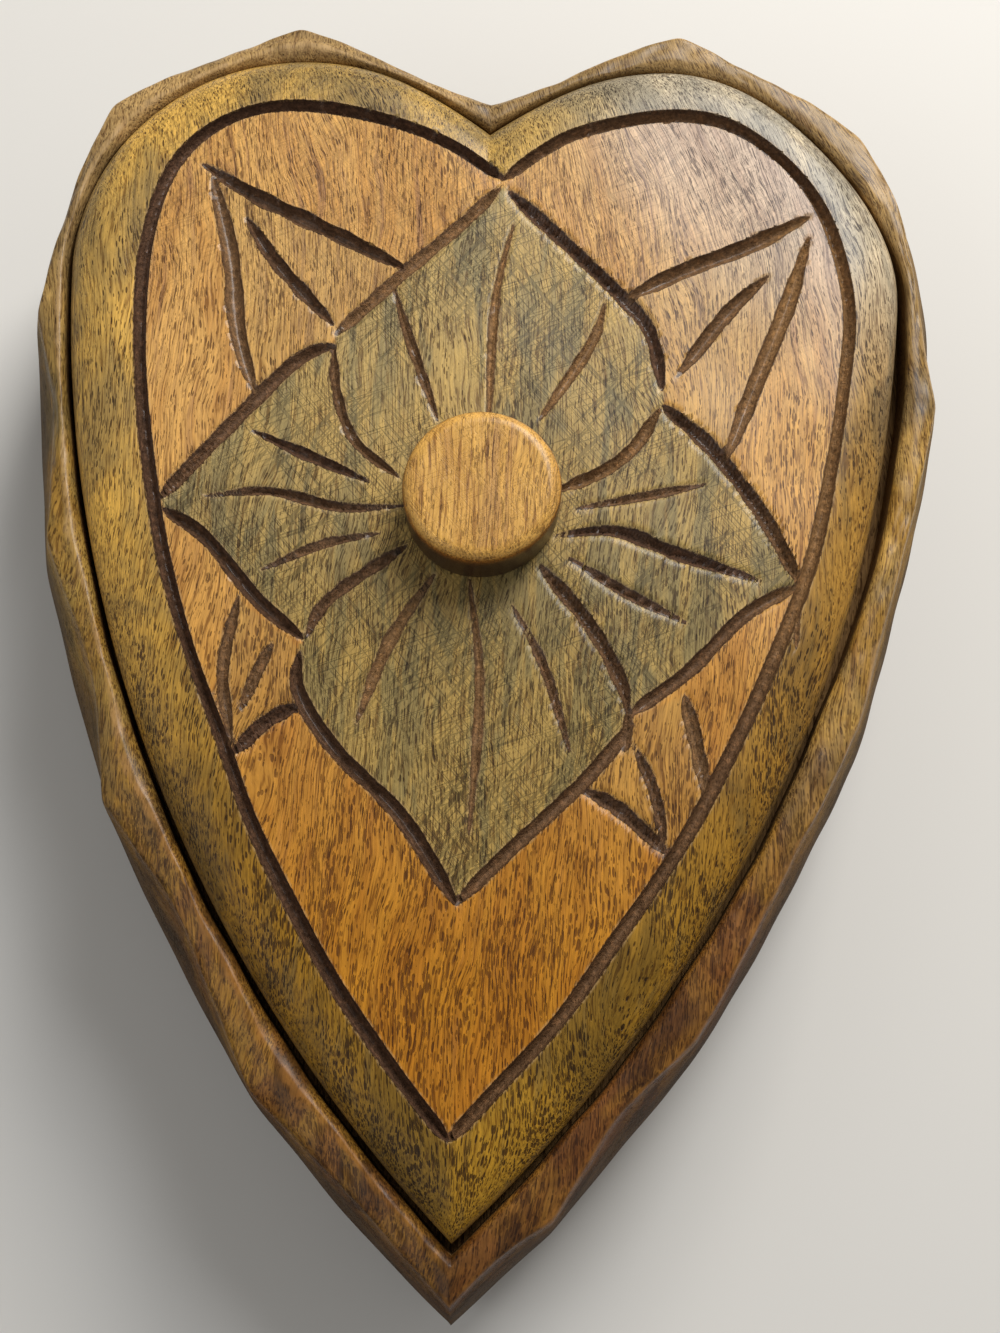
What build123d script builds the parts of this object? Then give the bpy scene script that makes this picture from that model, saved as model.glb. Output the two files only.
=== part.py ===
from build123d import *
import os
from math import acos, cos, hypot, radians, sin

os.makedirs("parts", exist_ok=True)

# A hand-carved wooden heart box: a hollowed block with a scalloped rim, a loose carved lid and its knob.
# Millimetres. +Z is up, +Y points from the heart's tip to its lobes, and the box stands on Z = 0.

# Lid outline: a heart of three tangent arcs on each side
shoulder_radius = 35.0  # arc round the widest part of a lobe
shoulder_x = 28.0
shoulder_y = 49.0
crown_radius = 71.0  # flatter arc from the shoulder up to the cleft
crown_angle = 115.5  # where the crown arc meets the shoulder arc, degrees from +X
side_radius = 205.0  # long arc from the shoulder down to the tip
side_angle = -2.0  # where the side arc meets the shoulder arc

# Box body
box_height = 46.0
floor_thickness = 7.0
rebate_depth = 8.0  # from the rim down to the ledge that the lid rests on
ledge_width = 6.0
cavity_draft = 1.5  # how much narrower the cavity is at its floor
cavity_cove = 3.0  # slanted corner between the floor and the wall
belly_height = 24.0  # where the wall is widest
foot_tuck = 1.2  # how far the foot is drawn in from the belly
foot_bevel = 1.5
rim_bevel = 0.8
rebate_bevel = 0.4

# Lid
lid_clearance = 1.2  # gap round the lid when it is centred in the rebate
lid_rest_x = 0.7  # the rebate lies this far to the right of the lid, which rests against its left side
lid_rest_y = -0.5
lid_edge_drop = 1.0  # the lid's domed border starts this far under the rim
lid_crown = 4.5  # how far the panel stands above the start of the border's dome
dome_width = 9.0  # from the lid's edge to the end of the dome
lid_foot_bevel = 0.6

# Carving on the lid
panel_inset = 9.6  # middle of the heart-shaped groove, from the lid's edge
panel_shift = 1.5  # the groove sits a little to the right
groove_width = 2.4
groove_depth = 1.5

# Gouge cuts inside the groove, each with its width, its depth and the points that it runs through
petal_edges = [
    (1.5, 1.0, [(1.9, 61.9), (-4.0, 55.4), (-12.0, 47.6), (-22.0, 37.2)]),
    (1.7, 1.2, [(-21.8, 35.4), (-29.4, 31.0), (-38.9, 20.0), (-46.4, 10.9)]),
    (1.9, 1.3, [(-45.8, 9.2), (-39.4, 5.1), (-31.5, -3.8), (-24.4, -9.6)]),
    (1.9, 1.3, [(-24.8, -11.5), (-24.6, -17.5), (-18.9, -25.8), (-9.3, -34.9), (-0.9, -47.2)]),
    (1.7, 1.1, [(-0.9, -47.0), (5.7, -40.0), (16.7, -29.0), (23.4, -20.6)]),
    (1.7, 1.1, [(22.9, -19.3), (31.4, -12.5), (39.3, -4.1), (47.0, 0.6)]),
    (2.0, 1.3, [(47.2, 1.2), (41.6, 11.6), (34.3, 21.1), (27.0, 27.6)]),
    (1.8, 1.2, [(27.0, 30.0), (25.0, 39.0), (20.7, 44.6), (11.9, 53.2), (3.0, 61.5)]),
]
petal_folds = [
    (1.3, 0.8, [(-22.2, 35.6), (-21.3, 28.0), (-18.3, 20.6), (-11.4, 15.0)]),
    (1.8, 1.1, [(26.5, 27.0), (23.2, 21.3), (18.6, 17.2), (12.6, 14.2)]),
    (1.7, 1.0, [(-24.0, -9.4), (-20.8, -3.5), (-10.0, 4.8)]),
    (2.0, 1.3, [(9.3, 2.6), (16.9, -6.3), (21.5, -14.5), (22.7, -19.4)]),
]
petal_veins = [
    (1.5, 0.8, [(-13.5, 44.8), (-10.8, 36.6), (-6.1, 24.0)]),
    (1.4, 0.6, [(4.1, 56.0), (1.7, 43.0), (1.3, 23.5)]),
    (1.9, 0.8, [(18.2, 43.7), (16.2, 36.9), (8.9, 24.8)]),
    (1.4, 0.9, [(-33.5, 21.7), (-26.3, 18.6), (-15.8, 14.3)]),
    (1.4, 0.9, [(-39.9, 11.4), (-30.5, 12.4), (-20.0, 10.3), (-11.6, 10.8)]),
    (1.2, 0.7, [(-30.9, 0.5), (-22.2, 4.6), (-13.8, 6.6)]),
    (1.9, 0.8, [(-5.9, 0.2), (-11.8, -9.5), (-16.1, -21.7)]),
    (1.5, 0.6, [(-0.6, -2.0), (1.3, -15.7), (0.5, -37.4)]),
    (1.2, 0.7, [(5.6, -3.7), (10.4, -12.6), (14.5, -25.1)]),
    (1.2, 0.7, [(14.6, 11.2), (24.0, 13.3), (33.6, 15.6)]),
    (1.9, 1.2, [(12.7, 7.0), (20.5, 7.9), (30.0, 4.6), (41.9, 1.0)]),
    (1.4, 0.9, [(13.4, 3.8), (22.3, -1.4), (31.2, -5.7)]),
]
corner_leaves = [
    (2.0, 1.3, [(-43.6, 64.3), (-35.3, 59.3), (-23.0, 53.6), (-11.2, 47.8)]),
    (2.8, 1.0, [(-41.9, 62.3), (-38.5, 50.0), (-36.5, 37.0), (-33.4, 27.4)]),
    (1.8, 1.1, [(-36.4, 55.7), (-31.0, 48.0), (-22.3, 38.7)]),
    (2.0, 1.2, [(49.0, 58.7), (40.0, 53.7), (30.0, 49.2), (20.8, 44.2)]),
    (2.2, 1.2, [(48.8, 55.3), (45.5, 44.0), (41.0, 32.0), (36.5, 19.5)]),
    (1.7, 1.0, [(42.5, 48.7), (36.5, 42.5), (29.2, 32.3)]),
    (1.6, 0.9, [(-34.0, -3.5), (-35.6, -14.5), (-33.8, -25.4)]),
    (1.9, 1.2, [(-24.3, -19.3), (-29.0, -22.0), (-33.5, -26.8)]),
    (1.5, 0.9, [(-28.8, -10.4), (-31.0, -15.6), (-32.7, -20.3)]),
    (2.0, 1.0, [(30.6, -16.1), (32.4, -23.0), (33.9, -30.6)]),
    (1.8, 1.1, [(16.0, -30.2), (21.7, -33.1), (28.6, -39.2)]),
    (1.4, 0.8, [(23.6, -23.8), (26.4, -30.0), (28.2, -37.6)]),
]
stroke_end = 0.25  # a stroke's width and depth at its ends, as a share of its full size

# Knob and its screw
knob_x = 0.7
knob_y = 11.3
knob_diameter = 23.0
knob_height = 10.0
knob_round = 1.2
knob_foot_bevel = 0.4
screw_diameter = 3.5
screw_length = 18.0
screw_head_diameter = 7.0
screw_point = 3.0
screw_hole_clearance = 0.2
screw_sink = 0.3  # how far the head lies inside the lid's underside
screw_slot_width = 1.0
screw_slot_depth = 0.9

# Heights that follow
ledge_z = box_height - rebate_depth
dome_z = box_height - lid_edge_drop
panel_z = dome_z + lid_crown


def heart_parts(inset):
    """Centre and radius of the right half's crown, shoulder and side arcs at an inset from the lid's edge."""
    crown = (
        shoulder_x - (crown_radius - shoulder_radius) * cos(radians(crown_angle)),
        shoulder_y - (crown_radius - shoulder_radius) * sin(radians(crown_angle)),
        crown_radius - inset,
    )
    shoulder = (shoulder_x, shoulder_y, shoulder_radius - inset)
    side = (
        shoulder_x - (side_radius - shoulder_radius) * cos(radians(side_angle)),
        shoulder_y - (side_radius - shoulder_radius) * sin(radians(side_angle)),
        side_radius - inset,
    )
    return crown, shoulder, side


def on_arc(arc, angle):
    """The point of an arc at an angle in radians."""
    return (arc[0] + arc[2] * cos(angle), arc[1] + arc[2] * sin(angle))


def heart_spans(inset):
    """The three arcs of the right half from cleft to tip, each with its first and last angle in radians."""
    crown, shoulder, side = heart_parts(inset)
    cleft_angle = acos(-crown[0] / crown[2])
    tip_angle = -acos(-side[0] / side[2])
    return [
        (crown, cleft_angle, radians(crown_angle)),
        (shoulder, radians(crown_angle), radians(side_angle)),
        (side, radians(side_angle), tip_angle),
    ]


def heart_face(inset, z, shift=(0, 0)):
    """A flat heart at a height, its edge at an inset from the lid's edge and its centre moved by the shift."""
    right = []
    for arc, first, last in heart_spans(inset):
        right.append([on_arc(arc, first), on_arc(arc, (first + last) / 2), on_arc(arc, last)])
    left = [[(-x, y) for x, y in reversed(points)] for points in reversed(right)]
    edges = []
    for points in right + left:
        placed = [(x + shift[0], y + shift[1], z) for x, y in points]
        edges.append(ThreePointArc(*placed))
    return make_face(edges)


def heart_point(side, share, inset, shift=(0, 0)):
    """The point at a share of the half outline, from the cleft (0) to the tip (1). side is -1 left or 1 right."""
    spans = heart_spans(inset)
    lengths = [arc[2] * (first - last) for arc, first, last in spans]
    along = share * sum(lengths)
    for (arc, first, last), length in zip(spans, lengths):
        if along <= length or arc is spans[-1][0]:
            x, y = on_arc(arc, first - along / arc[2])
            return (side * x + shift[0], y + shift[1])
        along -= length


def rim_point(side, share, offset):
    """A point outside the lid outline: the outline's own point at that share, moved out along its normal."""
    x0, y0 = heart_point(side, share, 0)
    x1, y1 = heart_point(side, share, -1)
    x_out, y_out = x1 - x0, y1 - y0
    reach = hypot(x_out, y_out)
    return (x0 + offset * x_out / reach, y0 + offset * y_out / reach)


def frustum_stack(faces):
    """One solid through flat outlines of equal make, lowest first."""
    return loft(faces, ruled=True)


# Scalloped wall: ridges with hollows between them, each (side, share of the half outline from the cleft,
# offset at the rim, offset at the belly). A scoop is a hollow and the ridge below it.
cleft_ridge = (1, 0.0, 5.4, 6.4)
tip_ridge = (1, 1.0, 8.9, 13.2)
right_scoops = [
    ((1, 0.050, 2.4, 6.5), (1, 0.118, 6.7, 9.2)),
    ((1, 0.180, 2.6, 7.4), (1, 0.246, 4.0, 9.0)),
    ((1, 0.330, 2.4, 7.6), (1, 0.430, 6.9, 10.0)),
    ((1, 0.540, 5.6, 8.8), (1, 0.620, 6.8, 9.6)),
    ((1, 0.705, 5.9, 8.6), (1, 0.811, 7.4, 9.8)),
    ((1, 0.870, 5.1, 8.8), (1, 0.928, 7.7, 10.0)),
]
right_last_hollow = (1, 0.970, 5.9, 9.4)
left_scoops = [
    ((-1, 0.060, 2.2, 6.5), (-1, 0.122, 6.2, 9.2)),
    ((-1, 0.180, 3.5, 7.6), (-1, 0.245, 6.2, 9.4)),
    ((-1, 0.317, 2.6, 7.6), (-1, 0.388, 5.4, 9.6)),
    ((-1, 0.440, 3.0, 8.0), (-1, 0.522, 6.4, 10.0)),
    ((-1, 0.604, 4.3, 8.8), (-1, 0.674, 8.6, 10.6)),
    ((-1, 0.752, 5.1, 9.2), (-1, 0.842, 8.8, 10.8)),
]
left_last_hollow = (-1, 0.945, 5.9, 9.8)


def wall_outline():
    """The wall's ridges and hollows in turn, clockwise from the cleft: down the right side, up the left."""
    ring = [cleft_ridge]
    for hollow, ridge in right_scoops:
        ring += [hollow, ridge]
    ring += [right_last_hollow, tip_ridge, left_last_hollow]
    for hollow, ridge in reversed(left_scoops):
        ring += [ridge, hollow]
    return ring


def wall_face(z, offset_of):
    """A flat section of the outer wall, an arc through each hollow. offset_of picks or works out the offset."""
    ring = wall_outline()
    points = [(*rim_point(side, share, offset_of(rim, belly)), z) for side, share, rim, belly in ring]
    edges = []
    for i in range(0, len(points), 2):
        edges.append(ThreePointArc(points[i], points[i + 1], points[(i + 2) % len(points)]))
    return make_face(edges)


def make_box_body():
    """The hollowed block: scalloped wall, rebate and ledge for the lid, and a coved cavity."""
    wall = frustum_stack(
        [
            wall_face(0, lambda rim, belly: belly - foot_tuck - foot_bevel),
            wall_face(foot_bevel, lambda rim, belly: belly - foot_tuck),
            wall_face(belly_height, lambda rim, belly: belly),
            wall_face(box_height - rim_bevel, lambda rim, belly: rim),
            wall_face(box_height, lambda rim, belly: rim - rim_bevel),
        ]
    )
    rest = (lid_rest_x, lid_rest_y)
    over = 1.0  # the cutting shapes run this far past the rim
    rebate = frustum_stack(
        [
            heart_face(-lid_clearance, ledge_z, rest),
            heart_face(-lid_clearance, box_height - rebate_bevel, rest),
            heart_face(-lid_clearance - rebate_bevel - over, box_height + over, rest),
        ]
    )
    cavity = frustum_stack(
        [
            heart_face(ledge_width + cavity_draft + cavity_cove, floor_thickness, rest),
            heart_face(ledge_width + cavity_draft, floor_thickness + cavity_cove, rest),
            heart_face(ledge_width, ledge_z, rest),
            heart_face(ledge_width, ledge_z + over, rest),
        ]
    )
    return wall - rebate - cavity


def dome_sections():
    """Inset and height of the lid border's steps, a quarter ellipse from the edge up to the flat panel."""
    steps = 5
    sections = []
    for i in range(steps + 1):
        turn = radians(90 * i / steps)
        sections.append((dome_width * (1 - cos(turn)), dome_z + lid_crown * sin(turn)))
    return sections


def panel_groove():
    """The heart-shaped groove round the panel, wide at the surface and narrow at its bottom."""
    bottom_share = 0.25
    over = 0.5
    half_top = groove_width / 2 * (1 + over / groove_depth)
    half_bottom = bottom_share * groove_width / 2
    shift = (panel_shift, 0)
    low, high = panel_z - groove_depth, panel_z + over
    outer = frustum_stack(
        [
            heart_face(panel_inset - half_bottom, low, shift),
            heart_face(panel_inset - half_top, high, shift),
        ]
    )
    inner = frustum_stack(
        [
            heart_face(panel_inset + half_bottom, low, shift),
            heart_face(panel_inset + half_top, high, shift),
        ]
    )
    return outer - inner


def gouge_stroke(width, depth, points):
    """One gouge cut through points on the panel: a V of full size at the inner points, thin at both ends."""
    over = 0.5
    last = len(points) - 1
    sections = []
    for i, (x, y) in enumerate(points):
        size = stroke_end if i in (0, last) else 1.0
        before, after = points[max(i - 1, 0)], points[min(i + 1, last)]
        run = hypot(after[0] - before[0], after[1] - before[1])
        spread = width * size / 2 * (1 + over / (depth * size))
        out_x, out_y = (before[1] - after[1]) / run * spread, (after[0] - before[0]) / run * spread
        corners = [
            (x - out_x, y - out_y, panel_z + over),
            (x + out_x, y + out_y, panel_z + over),
            (x, y, panel_z - depth * size),
        ]
        sections.append(make_face(Polyline(*corners, close=True)))
    return frustum_stack(sections)


def make_lid():
    """The carved plate: square lower edge, domed border, flat panel, its carving and the screw's hole."""
    sections = [heart_face(lid_foot_bevel, ledge_z), heart_face(0, ledge_z + lid_foot_bevel)]
    for inset, z in dome_sections():
        sections.append(heart_face(inset, z))
    plate = frustum_stack(sections)
    plate -= panel_groove()
    for width, depth, points in petal_edges + petal_folds + petal_veins + corner_leaves:
        plate -= gouge_stroke(width, depth, points)
    hole_radius = screw_diameter / 2 + screw_hole_clearance
    at_knob = Location((knob_x, knob_y, 0))
    plate -= at_knob * Pos(0, 0, (ledge_z + panel_z) / 2) * Cylinder(hole_radius, panel_z - ledge_z)
    head_radius = screw_head_diameter / 2 + screw_hole_clearance
    sink_depth = screw_sink + head_radius - hole_radius
    sink = Pos(0, 0, ledge_z + sink_depth / 2) * Cone(head_radius + screw_sink, hole_radius, sink_depth)
    return plate - at_knob * sink


def make_knob():
    """The disc: rounded upper edge, small bevel below, and a blind hole of the screw's size."""
    disc = Pos(knob_x, knob_y, panel_z + knob_height / 2) * Cylinder(knob_diameter / 2, knob_height)
    disc = fillet(disc.edges().sort_by(Axis.Z)[-1], knob_round)
    disc = chamfer(disc.edges().sort_by(Axis.Z)[0], knob_foot_bevel)
    return disc - make_screw(False)


def make_screw(slotted=True):
    """The countersunk screw: head, shank and point, with a slot in the head when it is the piece itself."""
    head_z = ledge_z + screw_sink
    head_height = (screw_head_diameter - screw_diameter) / 2
    shank_length = screw_length - head_height - screw_point
    head = Pos(0, 0, head_z + head_height / 2) * Cone(screw_head_diameter / 2, screw_diameter / 2, head_height)
    shank = Pos(0, 0, head_z + head_height + shank_length / 2) * Cylinder(screw_diameter / 2, shank_length)
    point_z = head_z + screw_length - screw_point
    tip_radius = 0.3
    point = Pos(0, 0, point_z + screw_point / 2) * Cone(screw_diameter / 2, tip_radius, screw_point)
    screw = head + shank + point
    if slotted:
        screw -= Pos(0, 0, head_z + screw_slot_depth / 2) * Box(
            screw_head_diameter, screw_slot_width, screw_slot_depth
        )
    return Pos(knob_x, knob_y, 0) * screw


def main():
    """Makes each piece, centres the whole over the origin and writes one file for each."""
    pieces = {
        "box_body": make_box_body(),
        "lid": make_lid(),
        "knob": make_knob(),
        "knob_screw": make_screw(),
    }
    middle = pieces["box_body"].bounding_box().center()
    for name, piece in pieces.items():
        placed = Pos(-middle.X, -middle.Y, 0) * piece
        placed.label = name
        export_step(placed, f"parts/{name}.step")
        size = placed.bounding_box().size
        print(f"{name}: {size.X:.1f} x {size.Y:.1f} x {size.Z:.1f} mm")
    print(f"middle of the lid outline's frame: {-middle.X:.3f}, {-middle.Y:.3f}")


main()
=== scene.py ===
from math import radians
from types import SimpleNamespace

import bpy
import numpy as np
from bpy.props import FloatProperty, FloatVectorProperty, PointerProperty
from mathutils import Matrix, Vector


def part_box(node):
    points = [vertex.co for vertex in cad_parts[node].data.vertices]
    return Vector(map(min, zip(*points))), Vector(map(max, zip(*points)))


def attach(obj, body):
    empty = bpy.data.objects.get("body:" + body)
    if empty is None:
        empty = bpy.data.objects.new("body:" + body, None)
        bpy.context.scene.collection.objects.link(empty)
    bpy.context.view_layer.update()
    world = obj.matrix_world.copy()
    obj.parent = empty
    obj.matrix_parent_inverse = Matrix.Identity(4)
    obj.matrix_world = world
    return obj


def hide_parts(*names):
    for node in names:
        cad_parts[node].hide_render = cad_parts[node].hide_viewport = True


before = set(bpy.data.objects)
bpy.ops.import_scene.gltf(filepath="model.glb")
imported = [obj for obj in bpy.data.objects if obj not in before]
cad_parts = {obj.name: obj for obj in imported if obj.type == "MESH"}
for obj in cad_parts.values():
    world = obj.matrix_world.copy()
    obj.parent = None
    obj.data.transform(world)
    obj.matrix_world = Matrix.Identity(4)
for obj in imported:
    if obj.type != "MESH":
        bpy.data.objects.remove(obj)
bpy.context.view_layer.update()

bl_info = {
    "name": "Carved heart box",
    "version": (1, 0, 0),
    "blender": (4, 5, 0),
    "location": "3D View > Sidebar > Heart box",
    "description": "Carved wooden heart box with a loose lid and a round knob",
    "category": "Add Mesh",
}

MM = 0.001

# Lid outline in millimetres about the middle of the heart, as the solids have it: three arcs on each side
SHOULDER_MIDDLE = (28.0, 49.0)
SHOULDER_RADIUS = 35.0
CROWN_RADIUS = 71.0
CROWN_ANGLE = radians(115.5)
SIDE_RADIUS = 205.0
SIDE_ANGLE = radians(-2.0)

# The right shoulder is cut a little flatter than its arc: angle about the arc's middle, reach either way
DIP_ANGLE = radians(42)
DIP_REACH = radians(50)
DIP_EASE = 7.5  # the lid's top is drawn in as far inside its edge as this

# The frame gives the heights and the place of the heart's middle
LID_LOW, LID_HIGH = (np.array(corner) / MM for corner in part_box("lid"))
BODY_LOW, BODY_HIGH = (np.array(corner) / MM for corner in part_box("box_body"))
KNOB_LOW, KNOB_HIGH = (np.array(corner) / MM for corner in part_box("knob"))
MIDDLE_X = (LID_LOW[0] + LID_HIGH[0]) / 2
MIDDLE_Y = LID_HIGH[1] - SHOULDER_MIDDLE[1] - SHOULDER_RADIUS
RIM_Z = BODY_HIGH[2]
LEDGE_Z = LID_LOW[2]
PANEL_Z = LID_HIGH[2]
KNOB_MIDDLE = ((KNOB_LOW + KNOB_HIGH) / 2)[:2] - (MIDDLE_X, MIDDLE_Y)
KNOB_RADIUS = (KNOB_HIGH[0] - KNOB_LOW[0]) / 2

# Lid: its edge below the rim, the slack under the panel's height, and the pit for the screw's head
EDGE_Z = RIM_Z - 1.0
PANEL_SLACK = 0.05
SINK_RADIUS = 4.0
SINK_FLOOR_RADIUS = 2.1
SINK_DEPTH = 2.1

# Wall ridges and hollows from the cleft (0) to the tip (1) along one half of the heart:
# share of the half, millimetres outside the lid at the rim, the same at the belly
RIGHT_RIDGES = ((0.0, 4.4, 5.2), (0.118, 6.7, 8.6), (0.246, 4.0, 9.0), (0.43, 6.9, 10.3), (0.62, 6.8, 10.2),
                (0.811, 7.4, 9.8), (0.928, 7.7, 10.0), (1.0, 6.4, 9.5))
RIGHT_HOLLOWS = ((0.05, 2.4, 6.5), (0.18, 2.6, 7.6), (0.33, 2.4, 8.8), (0.54, 5.6, 9.5), (0.705, 5.9, 9.4),
                 (0.87, 5.1, 9.2), (0.97, 5.9, 9.4))
LEFT_RIDGES = ((0.0, 4.4, 5.2), (0.122, 6.2, 8.6), (0.245, 6.2, 9.4), (0.388, 5.4, 9.3), (0.522, 6.4, 10.4),
               (0.674, 8.6, 10.6), (0.842, 8.8, 10.8), (1.0, 6.4, 9.5))
LEFT_HOLLOWS = ((0.06, 2.2, 6.5), (0.18, 3.5, 7.6), (0.317, 2.6, 8.8), (0.44, 3.0, 9.3), (0.604, 4.3, 10.0),
                (0.752, 5.1, 10.2), (0.945, 5.9, 9.8))

# Gap between the lid and the rim, hand-cut and uneven: share of the half, millimetres
LEFT_GAP = ((0.0, 0.5), (0.1, 0.4), (0.3, 0.45), (0.4, 0.8), (0.6, 0.9), (0.8, 1.0), (1.0, 1.1))
RIGHT_GAP = ((0.0, 0.5), (0.1, 0.4), (0.28, 0.6), (0.36, 1.2), (0.42, 2.0), (0.53, 2.1), (0.62, 1.1),
             (0.85, 0.8), (1.0, 1.1))
# Top of the rim from its outer to its inner edge: share of its width, drop below the ridge, wear and painted
# highlight.
# The left half has a narrow ridge near the lid, worn and with a painted highlight along it;
# the right half is flatter and worn on its outer edge
LEFT_RIM = ((0.985, 1.5, 0.2), (0.95, 1.1, 0.4), (0.88, 0.85, 0.35), (0.76, 0.62, 0.1), (0.62, 0.4, 0.0),
            (0.5, 0.2, 0.2), (0.43, 0.09, 0.6), (0.36, 0.02, 0.95), (0.3, 0.0, 1.0), (0.24, 0.08, 0.9),
            (0.18, 0.3, 0.5), (0.11, 0.6, 0.1), (0.05, 0.95, 0.0), (0.0, 1.35, 0.1))
RIGHT_RIM = ((0.985, 1.2, 0.75), (0.955, 0.7, 1.0), (0.92, 0.42, 0.9), (0.85, 0.24, 0.45), (0.75, 0.12, 0.1),
             (0.62, 0.03, 0.0), (0.5, 0.0, 0.0), (0.4, 0.0, 0.0), (0.3, 0.03, 0.05), (0.22, 0.1, 0.2),
             (0.15, 0.22, 0.3), (0.09, 0.4, 0.2), (0.04, 0.65, 0.05), (0.0, 1.05, 0.0))

# Carved strokes: width, depth, paleness of the stain in them (0 to 1), then points along the middle
OUTLINE_STROKES = (
    (2.0, 1.5, 0.1, ((2.4, 63.3), (-5.2, 68.4), (-13.8, 72.0), (-25.4, 74.4), (-35.3, 73.7), (-43.5, 69.4),
                     (-48.7, 62.1), (-51.3, 50.0), (-51.1, 35.3), (-49.4, 21.2), (-45.9, 4.4), (-41.7, -9.0),
                     (-35.1, -24.9), (-30.4, -36.2), (-25.2, -45.9), (-17.3, -58.8), (-9.2, -69.6),
                     (-0.9, -79.4))),
    (2.0, 1.5, 0.35, ((2.4, 63.3), (7.8, 67.9), (13.8, 71.4), (25.2, 74.5), (34.5, 74.2), (42.1, 70.2),
                     (48.7, 63.3), (52.7, 54.9), (54.8, 44.0), (54.2, 34.0), (52.2, 19.9), (49.0, 4.5),
                     (43.9, -9.5), (37.9, -23.3), (30.9, -37.1), (22.0, -50.7), (13.9, -62.6), (5.3, -72.4),
                     (-0.9, -79.4))),
)
# The petals' outer edges, in turn round the flower from its upper tip
PETAL_STROKES = (
    (2.0, 1.0, 0.6, ((1.9, 61.9), (-4.0, 55.4), (-12.0, 47.6), (-22.0, 37.2))),
    (2.2, 1.2, 0.25, ((-21.8, 35.4), (-25.0, 34.5), (-29.4, 31.0), (-38.9, 20.0), (-46.4, 10.9))),
    (2.0, 1.3, 0.15, ((-45.8, 9.2), (-39.4, 5.1), (-31.5, -3.8), (-24.4, -9.6))),
    (2.2, 1.3, 0.15, ((-24.8, -11.5), (-24.6, -17.5), (-18.9, -25.8), (-9.3, -34.9), (-0.9, -47.2))),
    (2.0, 1.1, 0.35, ((-0.9, -47.0), (5.7, -40.0), (16.7, -29.0), (23.4, -20.6))),
    (2.0, 1.1, 0.3, ((22.9, -19.3), (31.4, -12.5), (39.3, -4.1), (47.0, 0.6))),
    (2.2, 1.3, 0.15, ((47.2, 1.2), (41.6, 11.6), (34.3, 21.1), (27.0, 27.6))),
    (2.1, 1.2, 0.1, ((27.0, 30.0), (25.0, 39.0), (20.7, 44.6), (11.9, 53.2), (3.0, 61.5))),
)
INNER_STROKES = (
    (1.5, 0.8, 0.4, ((-22.2, 35.6), (-21.3, 28.0), (-18.3, 20.6), (-11.4, 15.0))),
    (1.9, 1.1, 0.7, ((26.5, 27.0), (23.2, 21.3), (18.6, 17.2), (11.6, 13.8))),
    (1.8, 1.0, 0.3, ((-24.0, -9.4), (-20.8, -3.5), (-10.0, 4.8))),
    (2.1, 1.3, 0.3, ((9.3, 2.6), (16.9, -6.3), (21.5, -14.5), (22.7, -19.4))),
    (1.5, 0.8, 0.4, ((22.7, -19.0), (22.4, -24.6))),
)
VEIN_STROKES = (
    (1.6, 0.8, 0.5, ((-13.5, 44.8), (-10.8, 36.6), (-6.1, 24.0))),
    (1.4, 0.6, 0.95, ((4.1, 56.0), (1.7, 43.0), (1.3, 22.0))),
    (1.9, 0.8, 0.85, ((18.2, 43.7), (16.2, 36.9), (8.9, 24.8))),
    (1.7, 0.9, 0.1, ((-33.5, 21.7), (-26.3, 18.6), (-15.8, 14.3))),
    (1.6, 0.9, 0.25, ((-39.9, 11.4), (-30.5, 12.4), (-20.0, 10.3), (-10.6, 10.8))),
    (1.4, 0.7, 0.35, ((-30.9, 0.5), (-22.2, 4.6), (-13.8, 6.6))),
    (1.9, 0.8, 0.8, ((-5.8, 0.6), (-11.8, -9.5), (-16.1, -21.7))),
    (1.5, 0.6, 0.75, ((-0.7, 0.0), (1.3, -15.7), (0.5, -37.4))),
    (1.4, 0.7, 0.4, ((5.6, -3.7), (10.4, -12.6), (14.5, -25.1))),
    (1.4, 0.7, 0.4, ((14.6, 11.2), (24.0, 13.3), (33.6, 15.6))),
    (2.1, 1.2, 0.1, ((11.5, 7.0), (20.5, 7.9), (30.0, 4.6), (41.9, 1.0))),
    (1.6, 0.9, 0.2, ((13.4, 3.8), (22.3, -1.4), (31.2, -5.7))),
)
LEAF_STROKES = (
    (2.4, 1.4, 0.2, ((-43.6, 64.3), (-35.3, 59.3), (-23.0, 53.6), (-11.2, 47.8))),
    (2.6, 1.1, 0.55, ((-41.9, 62.3), (-38.5, 50.0), (-36.5, 37.0), (-33.4, 27.4))),
    (2.1, 1.2, 0.2, ((-36.4, 55.7), (-31.0, 48.0), (-22.3, 38.7))),
    (2.6, 1.4, 0.5, ((49.0, 58.7), (40.0, 53.7), (30.0, 49.2), (20.8, 44.2))),
    (2.6, 1.4, 0.65, ((48.8, 55.3), (45.5, 44.0), (41.0, 32.0), (36.5, 19.5))),
    (2.2, 1.2, 0.5, ((42.5, 48.7), (36.5, 42.5), (29.2, 32.3))),
    (1.8, 0.9, 0.5, ((-34.0, -3.5), (-35.6, -14.5), (-33.8, -25.4))),
    (2.1, 1.2, 0.1, ((-24.3, -19.3), (-29.0, -22.0), (-33.5, -26.8))),
    (1.7, 0.9, 0.5, ((-28.8, -10.4), (-31.0, -15.6), (-32.7, -20.3))),
    (2.1, 1.0, 0.6, ((30.6, -16.1), (32.4, -23.0), (33.9, -30.6))),
    (2.0, 1.1, 0.2, ((16.0, -30.2), (21.7, -33.1), (28.6, -39.2))),
    (1.6, 0.8, 0.3, ((23.6, -23.8), (26.4, -30.0), (28.2, -37.6))),
    (0.9, 0.4, 0.3, ((46.9, -2.2), (46.8, -8.8))),
)

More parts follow.
